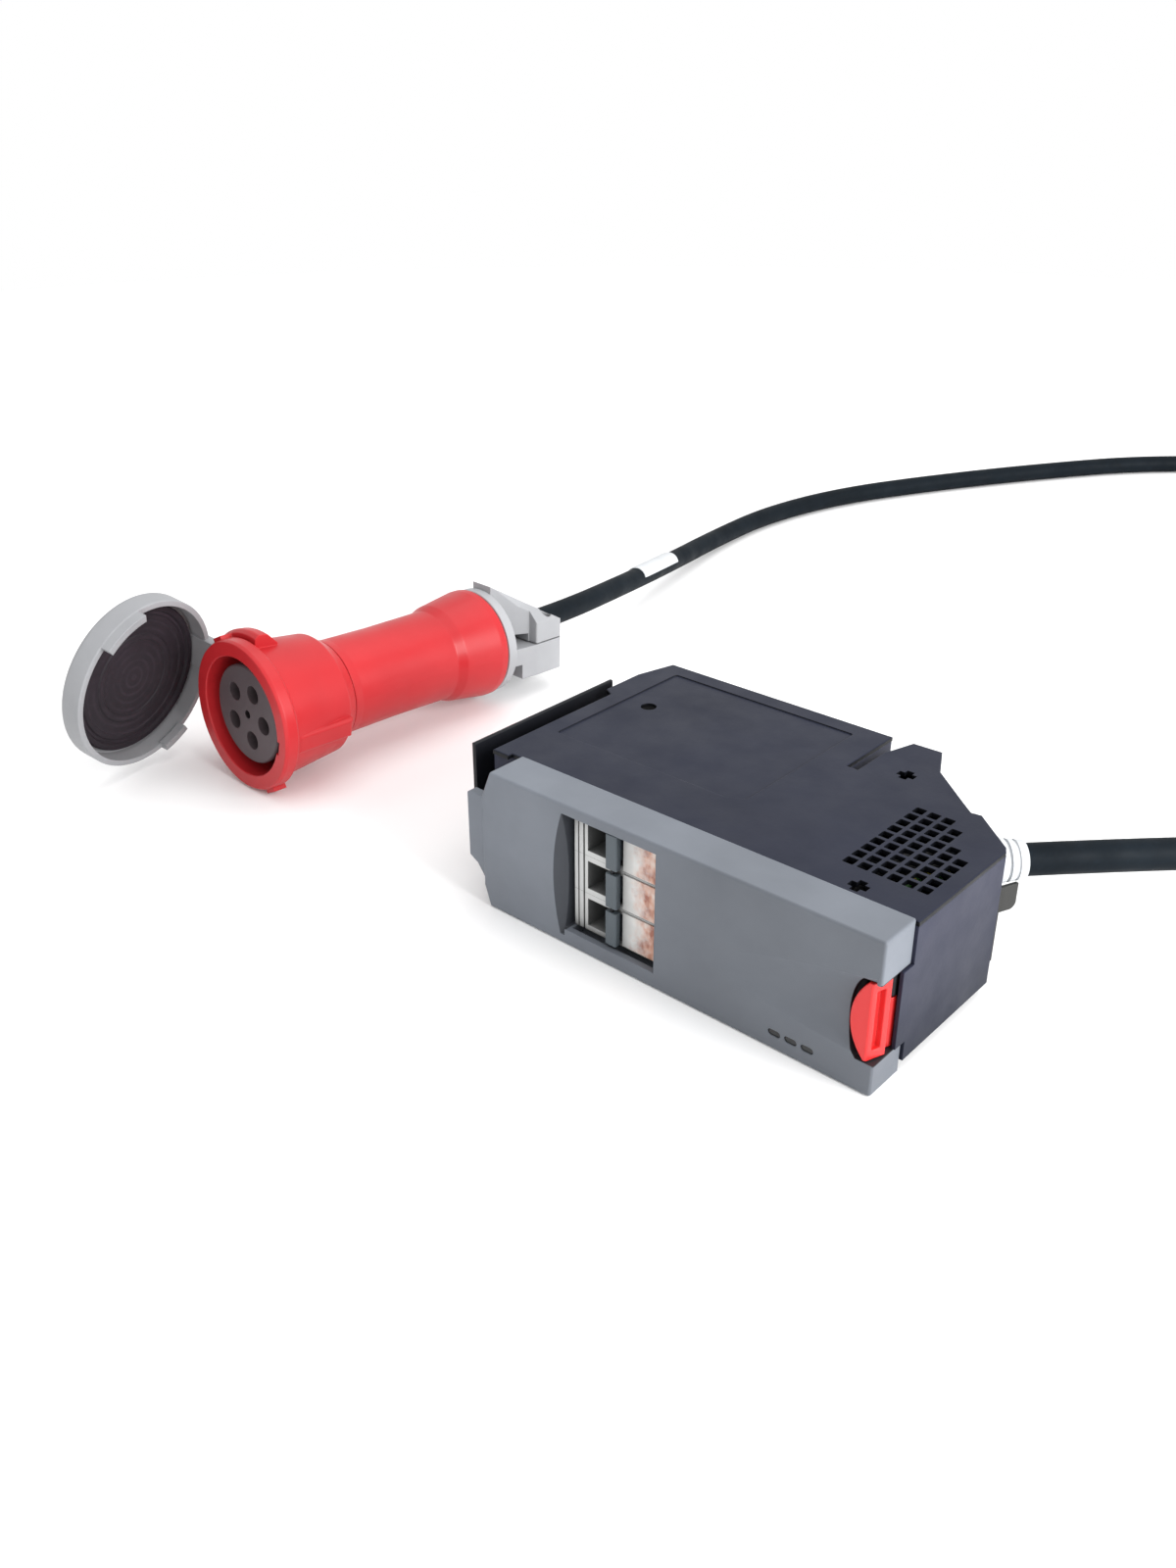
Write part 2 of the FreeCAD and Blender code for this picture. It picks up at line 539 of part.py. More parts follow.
mids = [d("pole_mid_z") - d("pole_pitch"), d("pole_mid_z") + 0.0, d("pole_mid_z") + d("pole_pitch")]
nose, shoulder, back = d("nose_y"), d("shoulder_y"), d("pole_back_y")
tx, ty = d("toggle_x"), d("toggle_y")
poles, terminal_screws, plates, toggles = [], [], [], []
for i, c in enumerate(mids):
    zl, zh = c - d("pole_wide") / 2, c + d("pole_wide") / 2
    profile = [(-144.7, nose, 0.6), (-97.9, nose, 0.6), (-97.9, shoulder), (-77.0, shoulder, 1.0), (-77.0, back, 1.0),
               (-101.0, back), (-101.0, 60.8), (-136.2, 60.8), (-136.2, back), (-160.0, back, 1.0), (-160.0, shoulder, 1.0),
               (-144.7, shoulder)]
    blank = prism("pole_block_%d" % i, "XY_Plane", [profile], zl, zh)
    slot = box("pole_slot_%d" % i, -137.3, -118.7, 4.0, 24.0, c - 6.4, c + 6.4)
    line = box("pole_line_%d" % i, -142.5, -141.9, 4.0, nose + 0.8, zl - 1.0, zh + 1.0)
    line2 = box("pole_line_b_%d" % i, -139.7, -138.9, 4.0, nose + 0.8, zl - 1.0, zh + 1.0)
    pivot = cyl("pole_pivot_%d" % i, "z", tx, ty, zl - 1.0, d("toggle_pin") + 0.02, d("pole_wide") + 2.0)
    holes = [cyl("pole_terminal_%d_%d" % (i, k), "y", x, shoulder - 1.0, c, 3.05, 12.5) for k, x in enumerate((-150.0, -87.0))]
    poles.append(cut("pole_%d" % i, blank, slot, line, line2, pivot, *holes))
    for k, x in enumerate((-150.0, -87.0)):
        post = cyl("terminal_screw_blank_%d_%d" % (i, k), "y", x, 24.5, c, 3.0, 8.9)
        nick = box("terminal_screw_nick_%d_%d" % (i, k), x - 3.2, x + 3.2, 24.0, 25.6, c - 0.4, c + 0.4)
        terminal_screws.append(cut("terminal_screw_%d_%d" % (i, k), post, nick))
    plates.append(box("breaker_plate_%d" % i, -118.4, -98.6, nose - 0.6, nose, c - 7.9, c + 7.9))
    # toggle: a hub on the pivot, a neck in the slot and a broad handle in front
    hub = cyl("toggle_hub_%d" % i, "z", tx, ty, c - 5.6, 4.6, 11.2)
    neck = prism("toggle_neck_%d" % i, "XY_Plane",
                 [[(-125.0, 2.6), (-120.4, 2.6), (-122.2, 15.0), (-130.0, 15.0)]], c - 5.6, c + 5.6)
    handle = prism("toggle_handle_%d" % i, "XY_Plane",
                   [[(-125.2, 1.8, 0.6), (-119.3, 1.8, 0.6), (-119.5, 4.8, 0.2), (-121.6, 4.3), (-124.9, 3.4, 0.2)]], c - 7.7, c + 7.7)
    bore = cyl("toggle_bore_%d" % i, "z", tx, ty, c - 9.0, d("toggle_pin") + 0.05, 18.0)
    tie = cyl("toggle_tie_bore_%d" % i, "z", -122.2, 3.0, c - 9.0, 0.7, 18.0)
    toggles.append(cut("toggle_%d" % i, fuse("toggle_blank_%d" % i, hub, neck, handle), bore, tie))
node("breaker_poles", group("breaker_poles", *poles))
node("breaker_terminal_screws", group("breaker_terminal_screws", *terminal_screws))
node("breaker_marker_plates", group("breaker_marker_plates", *plates))
node("breaker_toggles", group("breaker_toggles", *toggles))
node("toggle_pivot_pin", cyl("toggle_pivot_pin", "z", tx, ty, 8.2, d("toggle_pin"), 51.6))
NODES.pop()
pivot_pin = doc.getObject("toggle_pivot_pin")
node("toggle_pivot_pin", group("toggle_pivot_group", cyl("toggle_pivot_rod", "z", tx, ty, 8.2, d("toggle_pin"), 51.6)))
doc.removeObject(pivot_pin.Name)
node("toggle_tie_rod", group("toggle_tie_group", cyl("toggle_tie_rod_body", "z", -122.2, 3.0, 9.4, 0.7, 49.2)))

rail_profile = [(-136.1, 60.9), (-129.6, 60.9), (-129.6, 67.4), (-107.6, 67.4), (-107.6, 60.9), (-101.1, 60.9),
                (-101.1, 61.9), (-106.6, 61.9), (-106.6, 68.4), (-130.6, 68.4), (-130.6, 61.9), (-136.1, 61.9)]
din0 = prism("din_rail_bar", "XY_Plane", [rail_profile], Dim(8.0, "8.0"), Dim(60.0, "60.0"))
din_holes = [cyl("din_hole_%d" % i, "y", -118.6, 66.0, z, 2.05, 4.0) for i, z in enumerate((20.0, 48.0))]
node("din_rail", cut("din_rail", din0, *din_holes))
plate = box("din_plate", -140.0, -97.0, 68.4, 70.4, floor_top, 60.0)
foot = box("din_foot", -140.0, -97.0, 69.0, 84.0, floor_top, floor_top + 2.0)
din_tools = [cyl("din_plate_hole_%d" % i, "y", -118.6, 67.0, z, 2.05, 5.0) for i, z in enumerate((20.0, 48.0))]
din_tools += [cyl("din_foot_hole_%d" % i, "z", x, 78.0, 5.0, 2.05, 6.0) for i, x in enumerate((-131.0, -106.0))]
node("din_bracket", cut("din_bracket", fuse("din_bracket_blank", plate, foot), *din_tools))
bracket_screws = []
for i, z in enumerate((20.0, 48.0)):
    bracket_screws.append(fuse("din_screw_%d" % i, cyl("din_screw_head_%d" % i, "y", -118.6, 65.2, z, 3.4, 2.2),
                               cyl("din_screw_shank_%d" % i, "y", -118.6, 67.4, z, 2.0, 5.0)))
for i, x in enumerate((-131.0, -106.0)):
    bracket_screws.append(fuse("foot_screw_%d" % i, cyl("foot_screw_head_%d" % i, "z", x, 78.0, floor_top + 2.0, 3.4, 2.2),
                               cyl("foot_screw_shank_%d" % i, "z", x, 78.0, low, 2.0, 3.6)))
node("bracket_screws", group("bracket_screws", *bracket_screws))

# ---------------------------------------------------------------- latch

px, py = d("latch_pin_x"), d("latch_pin_y")
lz, lt = d("latch_low"), d("latch_top")
front = prism("latch_front", "XY_Plane", [[(-12.6, 0.3), (-3.4, 0.3, 0.8), (-0.4, 8.6, 0.6), (-2.6, 9.6), (-12.6, 7.0)]], lz, lt)
arm = prism("latch_arm", "XY_Plane", [[(-7.6, 5.0), (-2.8, 5.0), (-2.6, 11.6), (-1.7, 14.2), (-7.6, 14.2)]], lz, Dim(35.5, "35.5"))
boss = cyl("latch_boss", "z", px, py, lz, 2.7, 35.5 - lz)
limit = cyl("latch_limit", "y", d("recess_centre_x"), -1.0, 30.5, d("latch_radius"), 22.0)
lever0 = common("latch_blank", fuse("latch_sum", front, arm, boss), limit)
lever1 = cut("latch_cut", lever0, cyl("latch_bore", "z", px, py, 10.0, d("latch_pin") + 0.06, 40.0),
             prism("latch_groove", "YZ_Plane", [[(2.4, 18.0, 0.8), (6.2, 18.0, 0.8), (6.2, 43.4, 0.8), (2.4, 43.4, 0.8)]],
                   Dim(-3.6, "-3.6"), Dim(1.0, "1.0")))
lever2 = rounded("latch_soft", lever1, 0.9,
                 lambda e: e.Length > 12 and all_at(e, "y", 0.3, 0.02))
node("latch_lever", lever2)
node("latch_pin", group("latch_pin_group", cyl("latch_pin_rod", "z", px, py, 10.4, d("latch_pin"), 39.8)))
coil = cut("latch_coil", cyl("latch_coil_out", "z", px, py, 36.4, 2.9, 10.0), cyl("latch_coil_in", "z", px, py, 36.0, 1.9, 11.0))
node("latch_spring", coil)

# ---------------------------------------------------------------- bus plug

blade_x = [d("blade_first") + d("blade_pitch") * k for k in range(5)]
plug_block = fuse("bus_block_blank", box("bus_block_nose", -186.0, -92.0, 128.0, 146.0, 17.0, 53.0),
                  box("bus_block_flange", -190.0, -88.0, 132.0, 137.3, 12.0, 58.0))
shroud = box("bus_block_hollow", -183.2, -94.8, 132.5, 148.0, 20.5, 49.5)
slits = [box("bus_slit_%d" % k, x - d("blade_thick") / 2, x + d("blade_thick") / 2, 126.0, 134.0, 27.0, 43.0)
         for k, x in enumerate(blade_x)]
flange_holes = [cyl("bus_flange_hole_%d" % i, "y", x, 130.0, z, 1.75, 10.0) for i, (x, z) in enumerate([(-188.0, 35.0), (-90.0, 35.0)])]
node("bus_plug_housing", cut("bus_plug_housing", plug_block, shroud, *slits))
node("bus_blades", group("bus_blades", *[box("bus_blade_%d" % k, x - d("blade_thick") / 2, x + d("blade_thick") / 2, 121.0, 143.5, 27.0, 43.0)
                                         for k, x in enumerate(blade_x)]))
node("bus_plug_clips", group("bus_plug_clips", *[box("bus_clip_%d" % i, x, x + 6.0, 129.0, 132.0, z, z + 4.0)
                                                 for i, (x, z) in enumerate([(-170.0, 53.0), (-115.0, 53.0), (-170.0, 13.0), (-115.0, 13.0)])]))

# ---------------------------------------------------------------- meter board, transformers, earth stud

board = box("meter_board_blank", -57.0, -14.0, 24.0, 40.0, 14.0, 15.6)
stand_xy = [(-54.2, 26.8), (-16.8, 26.8), (-54.2, 37.2), (-16.8, 37.2)]
board_holes = [cyl("meter_board_hole_%d" % i, "z", x, y, 13.0, 1.3, 4.0) for i, (x, y) in enumerate(stand_xy)]
node("meter_board", cut("meter_board", board, *board_holes))
node("board_standoffs", group("board_standoffs", *[cyl("standoff_%d" % i, "z", x, y, floor_top, 2.4, 14.0 - floor_top)
                                                   for i, (x, y) in enumerate(stand_xy)]))
node("board_screws", group("board_screws", *[fuse("board_screw_%d" % i, cyl("board_screw_head_%d" % i, "z", x, y, 15.6, 2.3, 1.8),
                                                  cyl("board_screw_shank_%d" % i, "z", x, y, 14.0, 1.25, 1.6))
                                             for i, (x, y) in enumerate(stand_xy)]))
node("board_components", group("board_components",
                               box("board_transformer", -50.0, -40.5, 26.0, 38.0, 15.6, 28.0),
                               box("board_chip", -38.0, -28.0, 27.5, 36.5, 15.6, 17.2),
                               cyl("board_capacitor_a", "z", -24.0, 29.0, 15.6, 2.5, 9.0),
                               cyl("board_capacitor_b", "z", -24.0, 35.5, 15.6, 2.5, 9.0)))
cts = []
for i, c in enumerate(mids):
    blank = box("ct_block_%d" % i, -69.0, -60.0, 36.2, 52.0, c - 7.9, c + 7.9)
    cts.append(cut("ct_%d" % i, blank, cyl("ct_bore_%d" % i, "x", -70.0, 44.0, c, 3.0, 12.0)))
node("current_transformers", group("current_transformers", *cts))
node("transformer_frame", fuse("transformer_frame", box("ct_plate", -69.0, -60.0, 52.0, 53.6, floor_top, 60.0),
                               box("ct_foot", -69.0, -60.0, 53.0, 62.0, floor_top, floor_top + 1.6)))
stud = fuse("earth_stud", cyl("earth_stud_rod", "z", -50.0, 92.0, low, 2.0, 16.0),
            cyl("earth_stud_flange", "z", -50.0, 92.0, floor_top, 3.6, 1.2))
node("earth_stud", stud)
nut_loop = [(-50.0 + 4.0 * math.cos(math.radians(60 * k)), 92.0 + 4.0 * math.sin(math.radians(60 * k))) for k in range(6)]
nut = prism("earth_nut_blank", "XY_Plane", [nut_loop, ("circle", -50.0, 92.0, 2.0)], Dim(12.0, "12.0"), Dim(15.2, "15.2"))
node("earth_nut", nut)
ring0 = cyl("earth_ring_disc", "z", -50.0, 92.0, 10.4, 4.4, 1.6)
ring1 = box("earth_ring_tail", -48.0, -40.0, 90.4, 93.6, 10.4, 12.0)
node("earth_ring_terminal", cut("earth_ring_terminal", fuse("earth_ring_blank", ring0, ring1),
                                cyl("earth_ring_hole", "z", -50.0, 92.0, 9.0, 2.0, 5.0)))
node("earth_spacer", group("earth_spacer_group", cut("earth_spacer", cyl("earth_spacer_out", "z", -50.0, 92.0, floor_top + 1.2, 3.2, 10.4 - (floor_top + 1.2)),
                                                     cyl("earth_spacer_in", "z", -50.0, 92.0, 6.0, 2.0, 6.0))))

# ---------------------------------------------------------------- strain relief and cable bracket

# the gland is drawn along z from the wall and then turned to look out of it
cr = d("cord_radius")
GLAND_AT = Placement(GLAND + Vector(float(d("shift_x")), float(d("shift_y")), 0), turn_to(OUT))
relief_blank = fuse("relief_blank", cyl("relief_thread", "z", 0.0, 0.0, -10.0, 8.0, 10.5),
                    cyl("relief_flange", "z", 0.0, 0.0, 0.0, 9.9, 3.2),
                    cone("relief_taper", "z", 0.0, 0.0, 3.0, 9.0, 7.6, d("relief_long") - 3.0))
relief_grooves = [cut("relief_groove_%d" % i, cyl("relief_groove_out_%d" % i, "z", 0.0, 0.0, 5.6 + 3.4 * i, 11.0, 1.2),
                      cyl("relief_groove_in_%d" % i, "z", 0.0, 0.0, 5.0 + 3.4 * i, 7.6, 3.0)) for i in range(2)]
node("strain_relief", cut("strain_relief", relief_blank, cyl("relief_bore", "z", 0.0, 0.0, -11.0, cr, 45.0), *relief_grooves), GLAND_AT)
hex_loop = [(11.2 * math.cos(math.radians(60 * k + 30)), 11.2 * math.sin(math.radians(60 * k + 30))) for k in range(6)]
node("relief_locknut", prism("relief_locknut_blank", "XY_Plane", [hex_loop, ("circle", 0.0, 0.0, Dim(8.0, "8.0"))],
                             Dim(-6.5, "-6.5"), Dim(-1.6, "-1.6")), GLAND_AT)


def wall_loop(t0, t1, off0, off1):
    return [on_wall(t, off, 0.0)[:2] for t, off in ((t0, off0), (t0, off1), (t1, off1), (t1, off0))]


bracket_foot = prism("cable_bracket_foot", "XY_Plane", [wall_loop(2.2, 8.2, 0.0, 1.4)], Dim(14.0, "14.0"), Dim(43.6, "43.6"))
arm_loop = [on_wall(6.3, 0.3, 0.0)[:2], (1.1, 98.4), (-0.2, 98.95), on_wall(8.0, 0.3, 0.0)[:2]]
bracket_arm = prism("cable_bracket_arm", "XY_Plane", [arm_loop], Dim(32.4, "32.4"), Dim(43.6, "43.6"))
bracket_arm_soft = rounded("cable_bracket_arm_soft", bracket_arm, 3.0,
                           lambda e: all_at(e, "z", 32.4) and all(v.Point.y > 98.0 for v in e.Vertexes))
bracket_bores = [cyl("cable_bracket_hole_%d" % i, OUT, *on_wall(5.2, -1.0, z), 1.5, 4.0) for i, z in enumerate([19.0, 27.0])]
bracket_bores += [cone("cable_bracket_sink_%d" % i, OUT, *on_wall(5.2, 0.1, z), 1.5, 2.85, 1.4) for i, z in enumerate([19.0, 27.0])]
node("cable_bracket", cut("cable_bracket", fuse("cable_bracket_blank", bracket_foot, bracket_arm_soft), *bracket_bores))
node("cable_bracket_screws", group("cable_bracket_screws",
                                   *[fuse("cable_bracket_screw_%d" % i,
                                          cone("cable_bracket_screw_head_%d" % i, OUT, *on_wall(5.2, 0.1, z), 1.45, 2.7, 1.3),
                                          cyl("cable_bracket_screw_shank_%d" % i, OUT, *on_wall(5.2, -3.0, z), 1.45, 3.4))
                                     for i, z in enumerate([19.0, 27.0])]))

# ---------------------------------------------------------------- inside wiring

wr = float(d("wire_radius"))
CORD_IN = GLAND - OUT * 16.0


def core(k, back_off=0.0):
    """Where core k leaves the cord's stripped end, or a point that far before it."""
    a = math.radians(90 + 72 * k)
    q = CORD_IN - ASIDE * (4.2 * math.cos(a)) + Vector(0, 0, 4.2 * math.sin(a)) - OUT * back_off
    return q.x, q.y, q.z


def wire_feature(name, points):
    solid, length, tight, ratio, _ = tube_shape(points, wr, 0.42)
    print("wire %-12s length %.1f tightest %.1f volume ratio %.4f" % (name, length, tight, ratio))
    obj = doc.addObject("Part::Feature", name)
    obj.Shape = solid
    return obj


load = []
load_mid = [(-46.0, 58.0, 32.0), (-44.0, 57.0, 43.0), (-41.0, 56.0, 53.2)]
for i, (c, k) in enumerate(zip(mids, (2, 1, 0))):
    load.append(wire_feature("load_wire_%d" % i, [(-77.0, 44.0, float(c)), (-52.0, 44.0, float(c)), load_mid[i], core(k, 13.0), core(k)]))
node("load_wires", group("load_wires", *load))
line = []
line_mid = [(-170.0, 90.0, 25.0), (-166.0, 92.0, 34.4), (-160.0, 94.0, 44.0)]
line_near = [(-175.0, 108.0, 35.0), (-157.0, 108.0, 35.0), (-139.0, 107.0, 35.0)]
for i, c in enumerate(mids):
    line.append(wire_feature("line_wire_%d" % i, [(-160.0, 44.0, float(c)), (-176.0, 44.0, float(c)), (-180.0, 66.0, float(c)),
                                                  line_mid[i], line_near[i], (float(blade_x[i]), 121.0, 35.0)]))
node("line_wires", group("line_wires", *line))
node("neutral_wire", group("neutral_group", wire_feature("neutral_wire_tube", [
    (float(blade_x[3]), 121.0, 35.0), (float(blade_x[3]), 106.0, 35.0), (-108.0, 94.0, 45.0), (-80.0, 81.0, 55.0), (-58.0, 63.0, 58.8),
    (-43.0, 52.5, 58.8), (-32.5, 57.0, 56.5), core(4, 13.0), core(4)])))
node("earth_wire", group("earth_group", wire_feature("earth_wire_tube", [
    (float(blade_x[4]), 121.0, 35.0), (float(blade_x[4]), 107.0, 35.0), (-92.0, 95.0, 28.0), (-68.0, 81.0, 19.0), (-52.0, 64.0, 21.0),
    (-40.0, 52.0, 27.0), (-31.0, 56.5, 38.0), core(3, 13.0), core(3)])))
node("earth_bond_wire", group("earth_bond_group", wire_feature("earth_bond_tube", [(-40.0, 92.0, 11.2), (-34.0, 92.0, 11.2), (-28.6, 90.0, 11.2), (-26.0, 82.5, 11.2)])))

# ---------------------------------------------------------------- cable connector

# local frame: z points out of the mouth, x to the right and y up as seen from the front
n = Vector(-0.04777779, -0.99831335, 0.03298074).normalize()
e1 = Vector(0.99885675, -0.0478038, 0.0).normalize()
e2 = n.cross(e1).normalize()
mouth = Vector(float(d("mouth_x")) + float(d("shift_x")), float(d("mouth_y")) + float(d("shift_y")), float(d("mouth_z")))
matrix = FreeCAD.Matrix(e1.x, e2.x, n.x, mouth.x, e1.y, e2.y, n.y, mouth.y, e1.z, e2.z, n.z, mouth.z, 0, 0, 0, 1)
AT = Placement(matrix)

fr, fd, br, bl, mb = d("flange_radius"), d("flange_deep"), d("barrel_radius"), d("barrel_long"), d("mouth_bore")
be, mi, ms = d("barrel_edge"), d("mouth_inner"), d("mouth_step")
seat = bl - 12.0
front_profile = [(mb, 0.0, 0.6), (fr - 0.8, 0.0, 0.5), (fr, -1.6, 0.5), (fr, -fd + 1.0, 0.8), (br + 3.6, -fd - 1.2, 1.5), (br, -be, 2.0),
                 (25.6, -bl + 0.6, 0.4), (24.4, -bl), (24.4, -bl + 8.0), (21.5, -bl + 8.0), (21.5, -seat), (mi, -seat), (mi, -ms), (mb, -ms)]
front0 = turned("connector_front_blank", front_profile)
key_tool = box("key_slot_block", 26.5, 32.0, -3.6, 3.6, -35.0, 1.0)
key_tool.Placement = Placement(Vector(0, 0, 0), Rotation(Vector(0, 0, 1), -12.7)).multiply(key_tool.Placement)
key_rib = box("key_rib_block", 28.5, 34.6, -5.2, 5.2, -42.0, -10.0)
for path in ("Placement.Base.x", "Placement.Base.y", "Placement.Base.z"):
    key_tool.setExpression(path, None)
    key_rib.setExpression(path, None)
key_rib.Placement = Placement(Vector(0, 0, 0), Rotation(Vector(0, 0, 1), -12.7)).multiply(key_rib.Placement)
key_rib_soft = rounded("key_rib_soft", key_rib, 1.6, lambda e: e.Length > 2.0 and min(math.hypot(v.Point.x, v.Point.y) for v in e.Vertexes) > 34.0)

hr, hb = d("lid_pin_out"), d("lid_pin_back")
hinge_turn = Rotation(Vector(0, 0, 1), float(d("lid_turn")))


def at_hinge(obj):
    """Turn a piece drawn with the hinge at +x to where the hinge is."""
    for path in ("Placement.Base.x", "Placement.Base.y", "Placement.Base.z"):
        obj.setExpression(path, None)
    obj.Placement = Placement(Vector(0, 0, 0), hinge_turn).multiply(obj.Placement)
    return obj


lugs = []
for i, s in enumerate((-1, 1)):
    y0, y1 = (9.2, 14.2) if s > 0 else (-14.2, -9.2)
    lug = fuse("hinge_lug_%d" % i,
               at_hinge(box("hinge_lug_block_%d" % i, 30.0, hr, y0, y1, -hb - 3.3, -hb + 3.0)),
               at_hinge(cyl("hinge_lug_round_%d" % i, "y", hr, y0, -hb, 3.6, 5.0)))
    lugs.append(lug)
lug_bore = at_hinge(cyl("hinge_lug_bore", "y", hr, -20.0, -hb, d("lid_pin"), 40.0))
flange_lugs = []
for i, a in enumerate((-63.0, 117.0)):
    stub = box("flange_lug_%d" % i, 36.0, 39.8, -3.6, 3.6, -9.0, -2.0)
    stub.Placement = Placement(Vector(0, 0, 0), Rotation(Vector(0, 0, 1), a)).multiply(stub.Placement)
    flange_lugs.append(stub)
# raised stop behind the lid's rim at the top
stop_ring = turned("flange_stop_ring", [(31.0, -8.4), (39.6, -8.4, 1.0), (41.4, -10.4, 1.6), (40.8, -15.4, 2.6), (34.6, -21.4, 1.0), (31.0, -21.4)])
stop_soft = common("flange_stop", stop_ring,
                   prism("flange_stop_sector", "XY_Plane",
                         [[(0.0, 0.0)] + [(r * math.cos(math.radians(a)), r * math.sin(math.radians(a)))
                                          for r, a in ((60.0, 82.0), (66.0, 103.5), (60.0, 125.0))]], Dim(-22.0, "-22.0"), Dim(-8.0, "-8.0")))
front1 = fuse("connector_front_sum", front0, key_rib_soft, stop_soft, *(lugs + flange_lugs))
lug_clear = cyl("connector_front_clear", "z", 0.0, 0.0, -38.9, mi - 0.01, 43.0)
wide_clear = cyl("connector_mouth_clear", "z", 0.0, 0.0, -ms, mb - 0.01, ms + 4.0)
node("connector_front_housing", cut("connector_front_housing", front1, key_tool, lug_bore, lug_clear, wide_clear), AT)

ir, cc, cb = d("insert_radius"), d("contact_circle"), d("contact_bore")
insert0 = turned("insert_blank", [(0.0, -4.0), (ir - 0.8, -4.0), (ir, -4.8), (ir, -seat + 0.1), (0.0, -seat + 0.1)])
bores = []
sleeves = []
for k in range(5):
    a = math.radians(float(d("contact_turn")) + 72 * k)
    x, y = float(cc) * math.cos(a), float(cc) * math.sin(a)
    bores.append(cyl("insert_bore_%d" % k, "z", x, y, -50.0, cb, 52.0))
    sleeves.append(cut("contact_%d" % k, cyl("contact_out_%d" % k, "z", x, y, -49.0, cb - 0.02, 39.0),
                       cyl("contact_in_%d" % k, "z", x, y, -37.0, 3.4, 40.0)))
pilot = cyl("insert_pilot", "z", 0.0, 0.0, -9.0, 2.2, 10.0)
node("connector_insert", cut("connector_insert", insert0, pilot, *bores), AT)
node("connector_contacts", group("connector_contacts", *sleeves), AT)
node("insert_retainer", turned("insert_retainer_blank", [(ir + 0.05, -seat + 4.0), (mi - 0.3, -seat + 4.0), (mi - 0.3, -seat + 0.1), (ir + 0.05, -seat + 0.1)]), AT)

gr, ge, co, ce = d("grip_radius"), d("grip_end"), d("collar_radius"), d("collar_end")
handle_profile = [(20.4, -bl + 7.9), (gr - 0.05, -bl + 7.9), (gr - 0.05, -bl), (gr + 0.9, -bl - 0.02), (gr + 0.2, -bl - 5.0, 4.0), (gr - 0.2, -85.0, 60.0),
                  (gr + 0.2, -ge, 3.0), (26.6, -ge - 5.0, 2.0), (co, -146.0, 3.0), (co, -ce + 2.0, 1.2), (co - 1.8, -ce), (20.4, -ce)]
node("connector_handle", turned("connector_handle_blank", [p for p in handle_profile]), AT)

cle = d("clamp_end")
clamp_ring = turned("clamp_ring", [(12.0, -ce), (29.0, -ce, 0.6), (29.0, -ce - 6.0, 1.0), (12.0, -ce - 6.0)])
clamp_low = prism("clamp_low", "XZ_Plane", [[(-20.5, -ce - 5.0), (-22.5, -178.0, 2.0), (-22.5, -cle + 0.0, 2.0), (22.5, -cle + 0.0, 2.0), (22.5, -178.0, 2.0),
                                             (20.5, -ce - 5.0)]], Dim(-20.5, "-20.5"), Dim(-2.4, "-2.4"))
low_notch = box("clamp_low_notch", -26.0, 26.0, -22.0, -12.0, -168.0, -157.5)
saddle_front = prism("clamp_saddle_front", "XY_Plane", [[(-22.5, -1.6), (22.5, -1.6), (22.5, 10.3, 2.0), (14.0, 19.5, 3.0), (7.0, 33.0), (-7.0, 33.0), (-14.0, 19.5, 3.0),
                                                         (-22.5, 10.3, 2.0)]], -cle, -ce - 6.0)
saddle_side = prism("clamp_saddle_side", "YZ_Plane", [[(-1.6, -cle), (8.0, -cle, 1.5), (32.0, -ce - 6.0), (-1.6, -ce - 6.0)]], Dim(-30.0, "-30.0"), Dim(30.0, "30.0"))
saddle_plan = prism("clamp_saddle_plan", "XZ_Plane", [[(-7.0, -ce - 6.0), (7.0, -ce - 6.0), (17.0, -177.5), (22.5, -178.0, 1.0), (22.5, -cle + 0.0, 2.0), (-22.5, -cle + 0.0, 2.0),
                                                       (-22.5, -178.0, 1.0), (-17.0, -177.5)]], Dim(-6.0, "-6.0"), Dim(40.0, "40.0"))
clamp_high = common("clamp_high", common("clamp_high_rough", saddle_front, saddle_side), saddle_plan)
tongue_gap = box("clamp_tongue_gap", -26.0, 26.0, -3.0, 3.0, -177.0, -157.0)
bore_low = cyl("clamp_bore_low", "z", 0.0, 0.0, -cle - 4.0, cr, 80.0)
bore_high = cyl("clamp_bore_high", "z", 0.0, 0.0, -cle - 4.0, cr, 80.0)
screw_x = [-17.5, 17.5]
low_tools = [cyl("clamp_thread_%d" % i, "y", x, -16.0, -188.5, 2.05, 20.0) for i, x in enumerate(screw_x)]
high_tools = [cyl("clamp_clear_%d" % i, "y", x, -3.0, -188.5, 2.05, 30.0) for i, x in enumerate(screw_x)]
high_tools += [cyl("clamp_counter_%d" % i, "y", x, 6.4, -188.5, 3.9, 24.0) for i, x in enumerate(screw_x)]
bells = [cone("clamp_bell_%d" % i, Vector(0, 0, 1), 0.0, 0.0, -cle - 0.5, 7.0, 6.4, 10.0) for i in range(2)]
node("cord_clamp_base", cut("cord_clamp_base", fuse("clamp_base_sum", clamp_ring, clamp_low), bore_low, bells[0], low_notch, *low_tools), AT)
node("cord_clamp_saddle", cut("cord_clamp_saddle", clamp_high, tongue_gap, bore_high, bells[1], *high_tools), AT)
node("cord_clamp_screws", group("cord_clamp_screws",
                                *[fuse("clamp_screw_%d" % i, cyl("clamp_screw_head_%d" % i, "y", x, 6.4, -188.5, 3.6, 2.6),
                                       cyl("clamp_screw_shank_%d" % i, "y", x, -12.0, -188.5, 2.0, 18.6)) for i, x in enumerate(screw_x)]), AT)
seal = turned("cable_seal_blank", [(cr, -ce - 4.9), (11.95, -ce - 4.9), (11.95, -ce + 4.0), (cr, -ce + 4.0)])
node("cable_seal", seal, AT)

